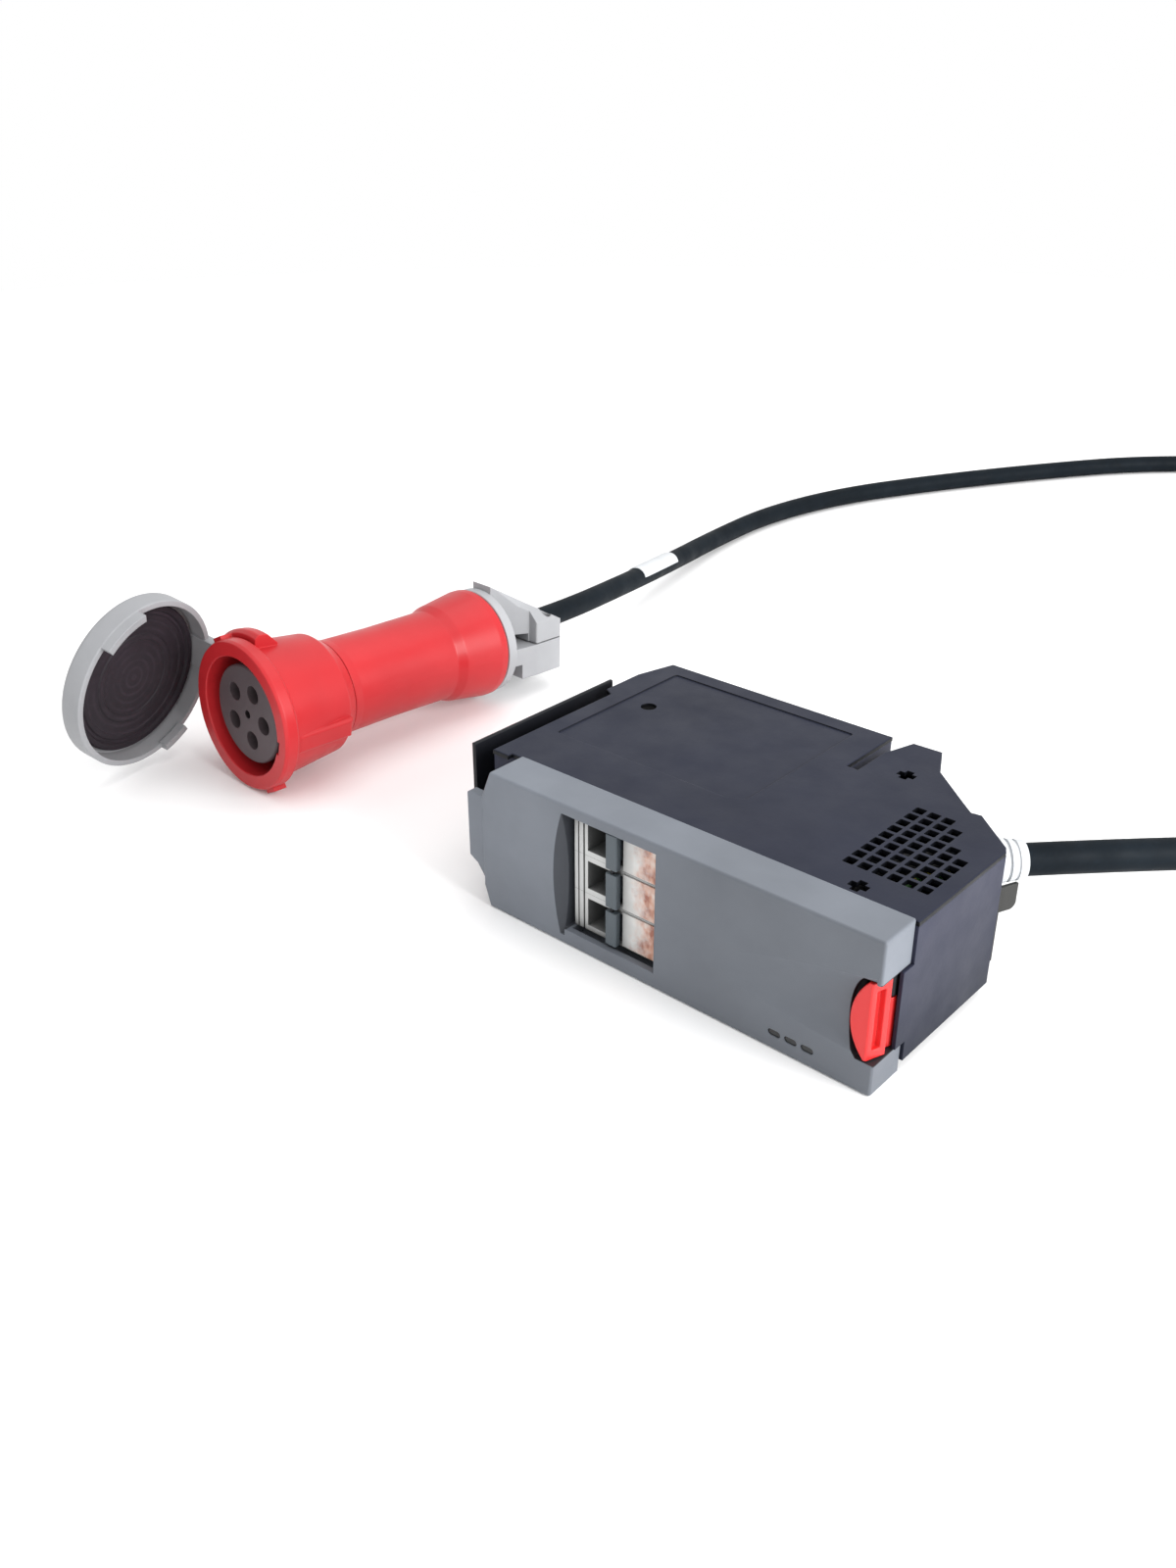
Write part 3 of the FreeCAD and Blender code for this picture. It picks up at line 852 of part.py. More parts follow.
# five cores from the stripped end of the cord to the contacts
cores = []
for k in range(5):
    a = math.radians(float(d("contact_turn")) + 72 * k)
    ca, sa = math.cos(a), math.sin(a)
    cores.append(wire_feature("connector_core_%d" % k, [(4.2 * ca, 4.2 * sa, -140.0), (4.2 * ca, 4.2 * sa, -116.0),
                                                        (float(cc) * ca, float(cc) * sa, -84.0), (float(cc) * ca, float(cc) * sa, -49.0)]))
node("connector_cores", group("connector_cores", *cores), AT)

# lid, drawn closed on the mouth and then turned open about its pin
lr, li = d("lid_radius"), d("lid_inner")
lid0 = turned("lid_cap", [(0.0, 7.1), (lr - 4.0, 7.1, 2.5), (lr, 4.1, 2.5), (lr, -6.7, 0.6), (li, -6.7), (li, 3.6), (0.0, 3.6)])
claws = []
for i, (a, half, tip) in enumerate(((53.0, 17.0, -11.7), (234.0, 10.5, -10.4))):
    claw = common("lid_claw_%d" % i, cut("lid_claw_ring_%d" % i, cyl("lid_claw_out_%d" % i, "z", 0.0, 0.0, tip, lr - 0.3, -5.7 - tip),
                                         cyl("lid_claw_in_%d" % i, "z", 0.0, 0.0, -13.0, 40.2, 9.0)),
                  prism("lid_claw_sector_%d" % i, "XY_Plane",
                        [[(0.0, 0.0), (60.0 * math.cos(math.radians(a - half)), 60.0 * math.sin(math.radians(a - half))),
                          (66.0 * math.cos(math.radians(a)), 66.0 * math.sin(math.radians(a))),
                          (60.0 * math.cos(math.radians(a + half)), 60.0 * math.sin(math.radians(a + half)))]], Dim(-12.5, "-12.5"), Dim(0.0, "0")))
    claws.append(claw)
lid1 = fuse("lid_sum", lid0, *claws)
arm0 = at_hinge(box("lid_arm_block", 41.5, hr + 2.8, -8.9, 8.9, 1.8, 5.0))
arm1 = at_hinge(box("lid_arm_drop", hr - 2.8, hr + 2.8, -8.9, 8.9, -hb, 5.0))
arm2 = at_hinge(cyl("lid_arm_barrel", "y", hr, -8.9, -hb, 3.2, 17.8))
lid_bore = at_hinge(cyl("lid_arm_bore", "y", hr, -20.0, -hb, d("lid_pin") + 0.05, 40.0))
lid2 = cut("connector_lid", fuse("lid_with_arm", lid1, arm0, arm1, arm2), lid_bore)
gasket = turned("lid_gasket_blank", [(0.0, 2.0), (20.0, 2.0), (20.6, 1.4), (23.4, 1.4), (24.0, 2.0), (30.4, 2.0), (31.0, 1.4), (33.2, 1.4), (33.8, 2.0),
                                     (35.2, 2.0), (36.0, 0.6), (38.4, 0.6), (39.2, 1.4), (39.2, 3.6), (0.0, 3.6)])
hinge_dir = hinge_turn.multVec(Vector(0, 1, 0))
hinge_point = hinge_turn.multVec(Vector(float(hr), 0, -float(hb)))
opened = Placement(Vector(0, 0, 0), Rotation(hinge_dir, float(d("lid_open"))), hinge_point)
node("connector_lid", lid2, AT.multiply(opened))
node("lid_gasket", gasket, AT.multiply(opened))
node("lid_hinge_pin", group("lid_hinge_pin_group", at_hinge(cyl("lid_hinge_pin_rod", "y", hr, -14.2, -hb, d("lid_pin"), 28.4))), AT)

# ---------------------------------------------------------------- power cord

sx, sy = float(d("shift_x")), float(d("shift_y"))
clamp_out = AT.multVec(Vector(0, 0, -140.0))
after = AT.multVec(Vector(0, 0, -210.0))
gland_far = GLAND + OUT * 125.0
route = [(CORD_IN.x, CORD_IN.y, CORD_IN.z), (gland_far.x, gland_far.y, gland_far.z), (157.0, 299.0, 24.0), (190.0, 412.0, 6.6), (202.0, 536.0, 6.6),
         (186.0, 662.0, 6.6), (138.0, 778.0, 6.6), (56.0, 870.0, 6.6), (-54.0, 926.0, 6.6), (-172.0, 919.0, 6.6), (-256.0, 857.0, 6.6),
         (-315.0, 767.0, 6.6), (-363.2, 679.6, 6.6), (-398.7, 600.7, 6.6), (-413.1, 520.5, 6.6), (-406.6, 445.5, 7.2), (-388.9, 377.3, 13.0), (-366.2, 302.1, 23.0)]
route = [(x + sx, y + sy, z) for x, y, z in route]
route.append((after.x, after.y, after.z))
route.append((clamp_out.x, clamp_out.y, clamp_out.z))
cord, cord_length, cord_tight, cord_ratio, cord_radii = tube_shape(route, float(cr))
print("cord length %.1f  tightest radius %.1f  volume over section times length %.5f" % (cord_length, cord_tight, cord_ratio))
print("cord radii", [round(r, 1) for r in cord_radii])
print("cord runs", [round((Vector(*route[i + 1]) - Vector(*route[i])).Length, 1) for i in range(len(route) - 1)])
print("cord points", [tuple(round(v, 2) for v in p) for p in route])
cord_obj = doc.addObject("Part::Feature", "power_cord_tube")
cord_obj.Shape = cord
cord_obj.Placement = Placement(Vector(0, 0, 0), Rotation())
cord_obj.Label = "power_cord"
NODES.append(("power_cord", cord_obj))

# ---------------------------------------------------------------- checks and files

doc.recompute()
bad = [o.Name for o in doc.Objects if any(s in ("Invalid", "Error") for s in o.State)]
for before, after_cut in POCKETS:
    if not after_cut.Shape.Volume < before.Shape.Volume - 1e-6:
        bad.append(after_cut.Name + " cuts nothing")
for label, obj in NODES:
    shape = obj.Shape
    if shape.isNull() or not shape.isValid() or not shape.Solids:
        bad.append(label + " shape")
if bad:
    raise RuntimeError("failed: %s" % ", ".join(bad))
os.makedirs("parts", exist_ok=True)
for label, obj in NODES:
    obj.Shape.exportStep(os.path.join("parts", label + ".step"))
print("%d nodes written" % len(NODES))
for label, obj in NODES:
    b = obj.Shape.BoundBox
    print("%-26s solids %2d  x %8.2f %8.2f  y %8.2f %8.2f  z %7.2f %7.2f" % (label, len(obj.Shape.Solids), b.XMin, b.XMax, b.YMin, b.YMax, b.ZMin, b.ZMax))
print("hinge point", AT.multVec(hinge_point), "axis", AT.Rotation.multVec(hinge_dir))
print("mouth", mouth, "normal", n)
for k in range(5):
    a = math.radians(float(d("contact_turn")) + 72 * k)
    print("contact", k, AT.multVec(Vector(float(cc) * math.cos(a), float(cc) * math.sin(a), -6.0)))
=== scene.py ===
import bpy
import bmesh
import json
import math
from mathutils import Matrix, Vector

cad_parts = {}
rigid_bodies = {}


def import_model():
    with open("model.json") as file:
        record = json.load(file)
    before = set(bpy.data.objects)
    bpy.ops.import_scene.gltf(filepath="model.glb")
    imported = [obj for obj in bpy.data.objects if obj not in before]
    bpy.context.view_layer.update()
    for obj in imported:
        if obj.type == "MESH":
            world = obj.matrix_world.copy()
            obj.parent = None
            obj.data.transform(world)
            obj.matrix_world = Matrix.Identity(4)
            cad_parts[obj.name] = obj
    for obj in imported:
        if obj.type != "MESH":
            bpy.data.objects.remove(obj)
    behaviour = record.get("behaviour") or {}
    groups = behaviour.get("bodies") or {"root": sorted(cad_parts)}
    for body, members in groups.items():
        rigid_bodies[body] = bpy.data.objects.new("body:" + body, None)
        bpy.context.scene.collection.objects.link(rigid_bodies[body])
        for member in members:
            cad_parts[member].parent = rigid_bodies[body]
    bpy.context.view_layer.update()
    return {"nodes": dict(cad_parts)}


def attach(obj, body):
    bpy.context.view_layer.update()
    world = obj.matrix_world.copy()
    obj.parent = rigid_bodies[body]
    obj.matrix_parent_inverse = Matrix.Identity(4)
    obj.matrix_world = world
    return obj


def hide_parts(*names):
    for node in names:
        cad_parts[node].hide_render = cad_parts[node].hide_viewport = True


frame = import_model()
scene = bpy.context.scene
NODES = frame["nodes"]


# ------------------------------------------------------------------ materials

class Tree:
    """Small helper around a material's node tree."""

    def __init__(self, name):
        self.mat = bpy.data.materials.new(name)
        self.mat.use_nodes = True
        self.nt = self.mat.node_tree
        self.nt.nodes.clear()
        self.out = self.nt.nodes.new("ShaderNodeOutputMaterial")
        self.bsdf = self.nt.nodes.new("ShaderNodeBsdfPrincipled")
        self.nt.links.new(self.bsdf.outputs[0], self.out.inputs[0])
        self.coord = self.nt.nodes.new("ShaderNodeTexCoord").outputs["Object"]

    def new(self, kind, **values):
        n = self.nt.nodes.new(kind)
        for key, value in values.items():
            setattr(n, key, value)
        return n

    def link(self, a, b):
        self.nt.links.new(a, b)

    def noise(self, scale, detail=3.0, rough=0.55, stretch=None, shift=(0, 0, 0)):
        n = self.new("ShaderNodeTexNoise")
        n.inputs["Scale"].default_value = scale
        n.inputs["Detail"].default_value = detail
        n.inputs["Roughness"].default_value = rough
        m = self.new("ShaderNodeMapping")
        m.inputs["Location"].default_value = shift
        if stretch:
            m.inputs["Scale"].default_value = stretch
        self.link(self.coord, m.inputs["Vector"])
        self.link(m.outputs[0], n.inputs["Vector"])
        return n.outputs["Fac"]

    def ramp(self, fac, stops):
        r = self.new("ShaderNodeValToRGB")
        els = r.color_ramp.elements
        while len(els) < len(stops):
            els.new(0.5)
        for e, (pos, col) in zip(els, stops):
            e.position = pos
            e.color = (*col, 1.0) if len(col) == 3 else col
        self.link(fac, r.inputs[0])
        return r.outputs["Color"]

    def value_ramp(self, fac, a, b, lo=0.0, hi=1.0):
        m = self.new("ShaderNodeMapRange")
        m.inputs["From Min"].default_value = a
        m.inputs["From Max"].default_value = b
        m.inputs["To Min"].default_value = lo
        m.inputs["To Max"].default_value = hi
        self.link(fac, m.inputs["Value"])
        return m.outputs["Result"]

    def mix(self, fac, a, b):
        m = self.new("ShaderNodeMix", data_type="RGBA")
        for sock, val in ((m.inputs[0], fac), (m.inputs[6], a), (m.inputs[7], b)):
            if isinstance(val, (int, float)):
                sock.default_value = val
            elif isinstance(val, tuple):
                sock.default_value = (*val, 1.0)
            else:
                self.link(val, sock)
        return m.outputs[2]

    def math(self, op, a, b=None, clamp=False):
        m = self.new("ShaderNodeMath", operation=op, use_clamp=clamp)
        for sock, val in zip(m.inputs, (a, b)):
            if val is None:
                continue
            if isinstance(val, (int, float)):
                sock.default_value = val
            else:
                self.link(val, sock)
        return m.outputs[0]

    def edges(self, radius):
        """Soft edge normal, and a mask that is 1 on edges."""
        b = self.new("ShaderNodeBevel", samples=6)
        b.inputs["Radius"].default_value = radius
        g = self.new("ShaderNodeNewGeometry")
        dot = self.new("ShaderNodeVectorMath", operation="DOT_PRODUCT")
        self.link(b.outputs[0], dot.inputs[0])
        self.link(g.outputs["Normal"], dot.inputs[1])
        mask = self.value_ramp(dot.outputs["Value"], 0.985, 0.80)
        return b.outputs[0], mask

    def bump(self, height, strength, distance, normal=None):
        b = self.new("ShaderNodeBump")
        b.inputs["Strength"].default_value = strength
        b.inputs["Distance"].default_value = distance
        self.link(height, b.inputs["Height"])
        if normal is not None:
            self.link(normal, b.inputs["Normal"])
        return b.outputs[0]

    def painted_crevice_shade(self, colour, dark, distance):
        """Painted shade: darken a colour where other surfaces stand close by."""
        ao = self.new("ShaderNodeAmbientOcclusion", samples=8)
        ao.inputs["Distance"].default_value = distance
        return self.mix(self.value_ramp(ao.outputs["AO"], 0.42, 0.92), dark, colour)

    def inside(self, value, lo, hi, soft):
        """1 where a value lies between two limits."""
        a = self.value_ramp(value, lo - soft, lo)
        b = self.value_ramp(value, hi + soft, hi)
        return self.math("MULTIPLY", a, b)

    def set(self, key, value):
        sock = self.bsdf.inputs[key]
        if isinstance(value, tuple):
            sock.default_value = (*value, 1.0) if len(value) == 3 else value
        elif isinstance(value, (int, float)):
            sock.default_value = value
        else:
            self.link(value, sock)


def srgb(r, g, b):
    def one(c):
        c /= 255.0
        return c / 12.92 if c <= 0.04045 else ((c + 0.055) / 1.055) ** 2.4
    return (one(r), one(g), one(b))


def times(c, k):
    return tuple(min(1.0, x * k) for x in c)


def plastic(name, base, rough=0.45, grain=1500.0, grain_depth=0.00006, grain_strength=0.35, edge=0.0006, edge_light=1.35,
            blotch=0.10, coat=0.0, spec=0.5, scuff=0.0, painted_shade_fn=None, painted_shade_reach=0.0):
    """Moulded plastic: faint colour drift, spark-eroded grain, softened and slightly polished edges, light scuffs."""
    t = Tree(name)
    drift = t.noise(22.0, 4.0)
    colour = t.ramp(drift, [(0.30, times(base, 1.0 - blotch)), (0.70, times(base, 1.0 + blotch))])
    speck = t.noise(900.0, 2.0)
    colour = t.mix(t.value_ramp(speck, 0.62, 0.80, 0.0, 0.16), colour, times(base, 1.25))
    normal, mask = t.edges(edge)
    wear = t.math("MULTIPLY", mask, t.value_ramp(t.noise(160.0, 3.0), 0.30, 0.65, 0.25, 1.0))
    colour = t.mix(wear, colour, times(base, edge_light))
    r = t.value_ramp(t.noise(60.0, 5.0), 0.3, 0.7, rough - 0.06, rough + 0.08)
    if scuff > 0:
        lines = t.noise(70.0, 6.0, 0.7, stretch=(1.0, 9.0, 3.0))
        fine = t.value_ramp(lines, 0.66, 0.74, 0.0, scuff)
        colour = t.mix(fine, colour, times(base, 1.5))
        r = t.math("ADD", r, t.math("MULTIPLY", fine, 0.3))
    # Painted shade by position and facing, when a shade function is given.
    if painted_shade_fn:
        colour = painted_shade_fn(t, colour)
    # Painted shade where other surfaces stand close by.
    if painted_shade_reach:
        colour = t.painted_crevice_shade(colour, times(base, 0.16), painted_shade_reach)
    t.set("Base Color", colour)
    t.set("Roughness", r)
    g = t.noise(grain, 2.0, 0.5)
    t.set("Normal", t.bump(g, grain_strength, grain_depth, normal))
    t.set("Specular IOR Level", spec)
    if coat:
        t.set("Coat Weight", coat)
        t.set("Coat Roughness", 0.12)
    return t.mat


def painted(name, base, rough=0.38, edge=0.0005, edge_light=2.2, peel=650.0, metal_edge=None, spec=0.5, painted_shade_fn=None):
    """Powder coat on sheet metal: orange peel, dust specks, brighter worn edges."""
    t = Tree(name)
    drift = t.noise(14.0, 4.0)
    colour = t.ramp(drift, [(0.30, times(base, 0.88)), (0.72, times(base, 1.14))])
    dust = t.value_ramp(t.noise(1400.0, 2.0, shift=(3, 1, 7)), 0.66, 0.78, 0.0, 0.22)
    colour = t.mix(dust, colour, times(base, 2.4))
    smear = t.value_ramp(t.noise(34.0, 6.0, 0.65, stretch=(1.0, 4.0, 1.0)), 0.55, 0.75, 0.0, 0.12)
    colour = t.mix(smear, colour, times(base, 1.7))
    normal, mask = t.edges(edge)
    wear = t.math("MULTIPLY", mask, t.value_ramp(t.noise(210.0, 3.0), 0.35, 0.62, 0.1, 0.9))
    colour = t.mix(wear, colour, metal_edge or times(base, edge_light))
    # Painted shade by position and facing, when a shade function is given.
    if painted_shade_fn:
        colour = painted_shade_fn(t, colour)
    t.set("Base Color", colour)
    t.set("Roughness", t.value_ramp(t.noise(48.0, 5.0), 0.3, 0.7, rough - 0.07, rough + 0.10))
    t.set("Normal", t.bump(t.noise(peel, 2.0), 0.30, 0.00008, normal))
    t.set("Specular IOR Level", spec)
    return t.mat


def metal(name, base, rough=0.32, brush=(1.0, 1.0, 40.0), edge=0.0003, blotch=0.12):
    t = Tree(name)
    lines = t.noise(220.0, 5.0, 0.7, stretch=brush)
    colour = t.ramp(lines, [(0.30, times(base, 1.0 - blotch)), (0.70, times(base, 1.0 + blotch))])
    stain = t.value_ramp(t.noise(90.0, 5.0), 0.52, 0.72, 0.0, 0.30)
    colour = t.mix(stain, colour, times(base, 0.72))
    normal, mask = t.edges(edge)
    colour = t.mix(t.math("MULTIPLY", mask, 0.6), colour, times(base, 1.4))
    t.set("Base Color", colour)
    t.set("Metallic", 1.0)
    t.set("Roughness", t.value_ramp(lines, 0.3, 0.7, rough - 0.08, rough + 0.14))
    t.set("Normal", t.bump(lines, 0.18, 0.00005, normal))
    return t.mat


def rubber(name, base, rough=0.55, grain=900.0, depth=0.00007, streak=None, edge=0.0004, spec=0.45, rings=None):
    t = Tree(name)
    drift = t.noise(40.0, 4.0)
    colour = t.ramp(drift, [(0.3, times(base, 0.82)), (0.7, times(base, 1.2))])
    chalk = t.value_ramp(t.noise(420.0, 4.0), 0.56, 0.76, 0.0, 0.16)
    colour = t.mix(chalk, colour, times(base, 2.6))
    if streak:
        band = t.value_ramp(t.noise(55.0, 4.0, 0.6, stretch=streak), 0.50, 0.70, 0.0, 0.25)
        colour = t.mix(band, colour, times(base, 1.9))
    normal, mask = t.edges(edge)
    if rings:
        off = t.new("ShaderNodeVectorMath", operation="SUBTRACT")
        t.link(t.coord, off.inputs[0])
        off.inputs[1].default_value = rings
        span = t.new("ShaderNodeVectorMath", operation="LENGTH")
        t.link(off.outputs[0], span.inputs[0])
        wave = t.math("SINE", t.math("MULTIPLY", span.outputs["Value"], 1500.0))
        turn = t.math("MULTIPLY", t.value_ramp(wave, 0.1, 1.0, 0.0, 0.5), t.value_ramp(t.noise(45.0, 5.0, 0.7), 0.40, 0.62))
        colour = t.mix(turn, colour, times(base, 2.3))
    t.set("Base Color", colour)
    t.set("Roughness", t.value_ramp(t.noise(75.0, 5.0), 0.3, 0.7, rough - 0.08, rough + 0.12))
    t.set("Normal", t.bump(t.noise(grain, 3.0), 0.35, depth, normal))
    t.set("Specular IOR Level", spec)
    return t.mat


BEZEL = srgb(108, 113, 121)
BLACK = srgb(24, 28, 44)
RED = srgb(177, 34, 39)


def bezel_painted_shade(t, colour):
    """Painted shade: front and top a little darker right of the window, right faces darker close to the floor; dark
    painted shade in the curved scoop beside the window and in the latch recess.
    """
    sep = t.new("ShaderNodeSeparateXYZ")
    t.link(t.coord, sep.inputs[0])
    x, y, z = sep.outputs["X"], sep.outputs["Y"], sep.outputs["Z"]
    geo = t.new("ShaderNodeNewGeometry")
    face = t.new("ShaderNodeSeparateXYZ")
    t.link(geo.outputs["Normal"], face.inputs[0])
    front = t.math("MULTIPLY", face.outputs["Y"], -1.0, clamp=True)
    top = t.math("MULTIPLY", face.outputs["Z"], 0.35, clamp=True)
    # Painted shade: front and top faces darker towards the right of the window.
    painted_shade_right = t.math("MULTIPLY", t.value_ramp(x, -0.045, 0.030, 0.0, 0.46), t.math("ADD", front, top, clamp=True))
    colour = t.mix(painted_shade_right, colour, times(BEZEL, 0.48))
    # Painted shade: right-facing faces darker close to the floor.
    painted_foot_shade = t.math("MULTIPLY", t.value_ramp(face.outputs["X"], 0.5, 0.9), t.value_ramp(z, 0.016, 0.012, 0.0, 0.45))
    colour = t.mix(painted_foot_shade, colour, times(BEZEL, 0.45))
    behind = t.value_ramp(y, -0.07295, -0.07270)
    # Painted shade: dark in the curved scoop beside the window, behind the front face.
    scoop = t.math("MULTIPLY", t.inside(x, -0.0530, -0.0390, 0.0002), t.inside(z, 0.0042, 0.0604, 0.0003))
    colour = t.mix(t.math("MULTIPLY", t.math("MULTIPLY", scoop, behind), 0.80), colour, srgb(38, 40, 46))
    # Painted shade: dark in the latch recess behind the front face.
    dx = t.math("SUBTRACT", x, 0.1192)
    dz = t.math("SUBTRACT", z, 0.0305)
    r2 = t.math("ADD", t.math("MULTIPLY", dx, dx), t.math("MULTIPLY", dz, dz))
    recess = t.math("MULTIPLY", t.value_ramp(r2, 0.0270 ** 2, 0.02690 ** 2), t.inside(z, 0.0132, 0.0478, 0.0002))
    return t.mix(t.math("MULTIPLY", t.math("MULTIPLY", recess, behind), 0.92), colour, srgb(14, 15, 17))


def cover_painted_shade(t, colour):
    """Painted shade: the cover's thin sides are painted dark."""
    geo = t.new("ShaderNodeNewGeometry")
    face = t.new("ShaderNodeSeparateXYZ")
    t.link(geo.outputs["Normal"], face.inputs[0])
    # Painted shade on faces that do not point up.
    side = t.value_ramp(face.outputs["Z"], 0.75, 0.35)
    return t.mix(t.math("MULTIPLY", side, 0.9), colour, srgb(6, 7, 9))


def tray_painted_shade(t, colour):
    """Painted shade: wall that darkens towards the floor."""
    sep = t.new("ShaderNodeSeparateXYZ")
    t.link(t.coord, sep.inputs[0])
    painted_floor_shade = t.value_ramp(sep.outputs["Z"], 0.058, 0.006, 0.0, 0.75)
    return t.mix(painted_floor_shade, colour, srgb(15, 20, 31))


M = {
    "bezel": plastic("bezel_grain_plastic", BEZEL, 0.52, grain=1700.0, edge=0.0007, edge_light=1.6, scuff=0.05, spec=0.35, painted_shade_fn=bezel_painted_shade),
    "cover": painted("cover_powder_coat", BLACK, 0.44, edge_light=1.6, spec=0.2, painted_shade_fn=cover_painted_shade),
    "tray": painted("tray_powder_coat", srgb(46, 48, 63), 0.44, edge_light=1.6, spec=0.12, painted_shade_fn=tray_painted_shade),
    "rail": painted("rail_powder_coat", srgb(20, 21, 26), 0.46, edge_light=2.0, spec=0.2),
    "black": plastic("black_moulding", srgb(26, 27, 31), 0.5, grain=1300.0, edge_light=1.8, spec=0.35),
    "runner": plastic("runner_moulding", srgb(24, 25, 28), 0.55, grain=900.0, edge_light=1.7, spec=0.35),
    "red": plastic("red_moulding", RED, 0.38, grain=1100.0, grain_depth=0.00004, grain_strength=0.25, edge=0.0009,
                   edge_light=1.35, blotch=0.07, coat=0.06, spec=0.3),
    "latch": plastic("latch_red_moulding", srgb(204, 38, 38), 0.34, grain=1400.0, grain_strength=0.2, edge=0.0008,
                     edge_light=1.6, blotch=0.05, coat=0.12, spec=0.35),
    "lid": plastic("lid_grey_moulding", srgb(140, 141, 144), 0.46, grain=1200.0, edge=0.0008, edge_light=1.3, scuff=0.06, spec=0.4),
    "pale": plastic("pale_grey_moulding", srgb(154, 155, 158), 0.46, grain=1200.0, edge=0.0007, edge_light=1.25, spec=0.4),
    # Breaker poles: painted shade where other surfaces stand close by.
    "white": plastic("white_breaker_moulding", srgb(196, 197, 196), 0.40, grain=1500.0, edge=0.0005, edge_light=1.15, blotch=0.04, painted_shade_reach=0.014),
    "toggle": plastic("toggle_grey_moulding", srgb(80, 88, 94), 0.40, grain=1400.0, edge=0.0005, edge_light=1.5, spec=0.35),
    # Insert: painted shade where other surfaces stand close by.
    "insert": plastic("insert_charcoal_moulding", srgb(79, 69, 72), 0.50, grain=900.0, edge=0.0006, edge_light=1.6, spec=0.35, painted_shade_reach=0.005),
    "lens": plastic("lens_smoked", srgb(18, 19, 21), 0.20, grain=600.0, grain_strength=0.05, edge_light=1.6, coat=0.3, spec=0.4),
    "zinc": metal("zinc_plate", srgb(170, 168, 163), 0.34),
    "oxide": metal("black_oxide_steel", srgb(52, 52, 55), 0.42),
    "bracket": painted("bracket_grey_paint", srgb(57, 57, 56), 0.50, edge_light=1.8, spec=0.12),
    # Cover screw painted near black as painted shade in its hole.
    "shade": plastic("cover_screw_painted_shade", srgb(6, 6, 7), 0.6, grain=900.0, edge_light=1.3, spec=0.05),
    "copper": metal("bare_copper", srgb(196, 128, 96), 0.30, brush=(1.0, 1.0, 30.0)),
    "brass": metal("bare_brass", srgb(150, 124, 78), 0.34),
    "contact": metal("contact_dull_brass", srgb(58, 48, 34), 0.5),
    "gasket": rubber("gasket_rubber", srgb(33, 27, 33), 0.62, grain=700.0, spec=0.25, rings=(-0.3051, -0.0973, 0.0510)),
    "seal": rubber("seal_rubber", srgb(30, 30, 32), 0.6, spec=0.35),
    "cord": rubber("cord_sheath", srgb(13, 20, 26), 0.56, grain=800.0, depth=0.00005, streak=(3.0, 1.0, 3.0), spec=0.09),
    "wire": rubber("wire_insulation", srgb(26, 26, 29), 0.45, grain=1200.0, depth=0.00003, spec=0.4),
}


def board_material():
    t = Tree("board_laminate")
    base = srgb(26, 84, 52)
    tracks = t.new("ShaderNodeTexBrick")
    tracks.inputs["Scale"].default_value = 220.0
    tracks.inputs["Mortar Size"].default_value = 0.03
    tracks.inputs["Color1"].default_value = (*times(base, 0.9), 1)
    tracks.inputs["Color2"].default_value = (*times(base, 1.15), 1)
    tracks.inputs["Mortar"].default_value = (*times(base, 1.8), 1)
    t.link(t.coord, tracks.inputs["Vector"])
    t.set("Base Color", tracks.outputs["Color"])
    t.set("Roughness", t.value_ramp(t.noise(90.0), 0.3, 0.7, 0.22, 0.4))
    t.set("Normal", t.bump(tracks.outputs["Fac"], 0.2, 0.00008))
    return t.mat


def earth_material():
    t = Tree("earth_insulation")
    w = t.new("ShaderNodeTexWave", wave_type="BANDS", bands_direction="DIAGONAL")
    w.inputs["Scale"].default_value = 60.0
    t.link(t.coord, w.inputs["Vector"])
    colour = t.ramp(w.outputs["Fac"], [(0.48, srgb(60, 120, 50)), (0.52, srgb(205, 190, 50))])
    t.set("Base Color", colour)
    t.set("Roughness", t.value_ramp(t.noise(120.0), 0.3, 0.7, 0.38, 0.55))
    t.set("Normal", t.bump(t.noise(1200.0), 0.25, 0.00003))
    return t.mat


def plate_material():
    """Bare marker plate: white card with a plain worn copper-coloured film along its right side."""
    t = Tree("marker_plate_card")
    white = srgb(205, 205, 203)
    band = srgb(150, 86, 64)
    sep = t.new("ShaderNodeSeparateXYZ")
    t.link(t.coord, sep.inputs[0])
    wob = t.value_ramp(t.noise(330.0, 3.0, 0.6), 0.3, 0.7, -0.0030, 0.0030)
    x = t.math("ADD", sep.outputs["X"], wob)
    right = t.value_ramp(x, -0.0085, 0.0015)
    blocks = t.ramp(t.noise(240.0, 2.0, 0.5, stretch=(1.0, 1.0, 0.6)), [(0.34, srgb(214, 196, 186)), (0.50, srgb(196, 146, 124)), (0.66, band)])
    base = t.ramp(t.noise(120.0, 3.0), [(0.35, times(white, 0.86)), (0.65, times(white, 1.04))])
    base = t.mix(t.value_ramp(sep.outputs["X"], -0.0070, -0.0125), base, times(white, 0.62))
    colour = t.mix(t.math("MULTIPLY", right, 0.95), base, blocks)
    normal, mask = t.edges(0.0003)
    colour = t.mix(t.math("MULTIPLY", mask, 0.4), colour, srgb(238, 236, 232))
    t.set("Base Color", colour)
    t.set("Roughness", t.value_ramp(t.noise(150.0), 0.3, 0.7, 0.28, 0.42))
    t.set("Normal", t.bump(t.noise(1500.0), 0.15, 0.00003, normal))
    return t.mat


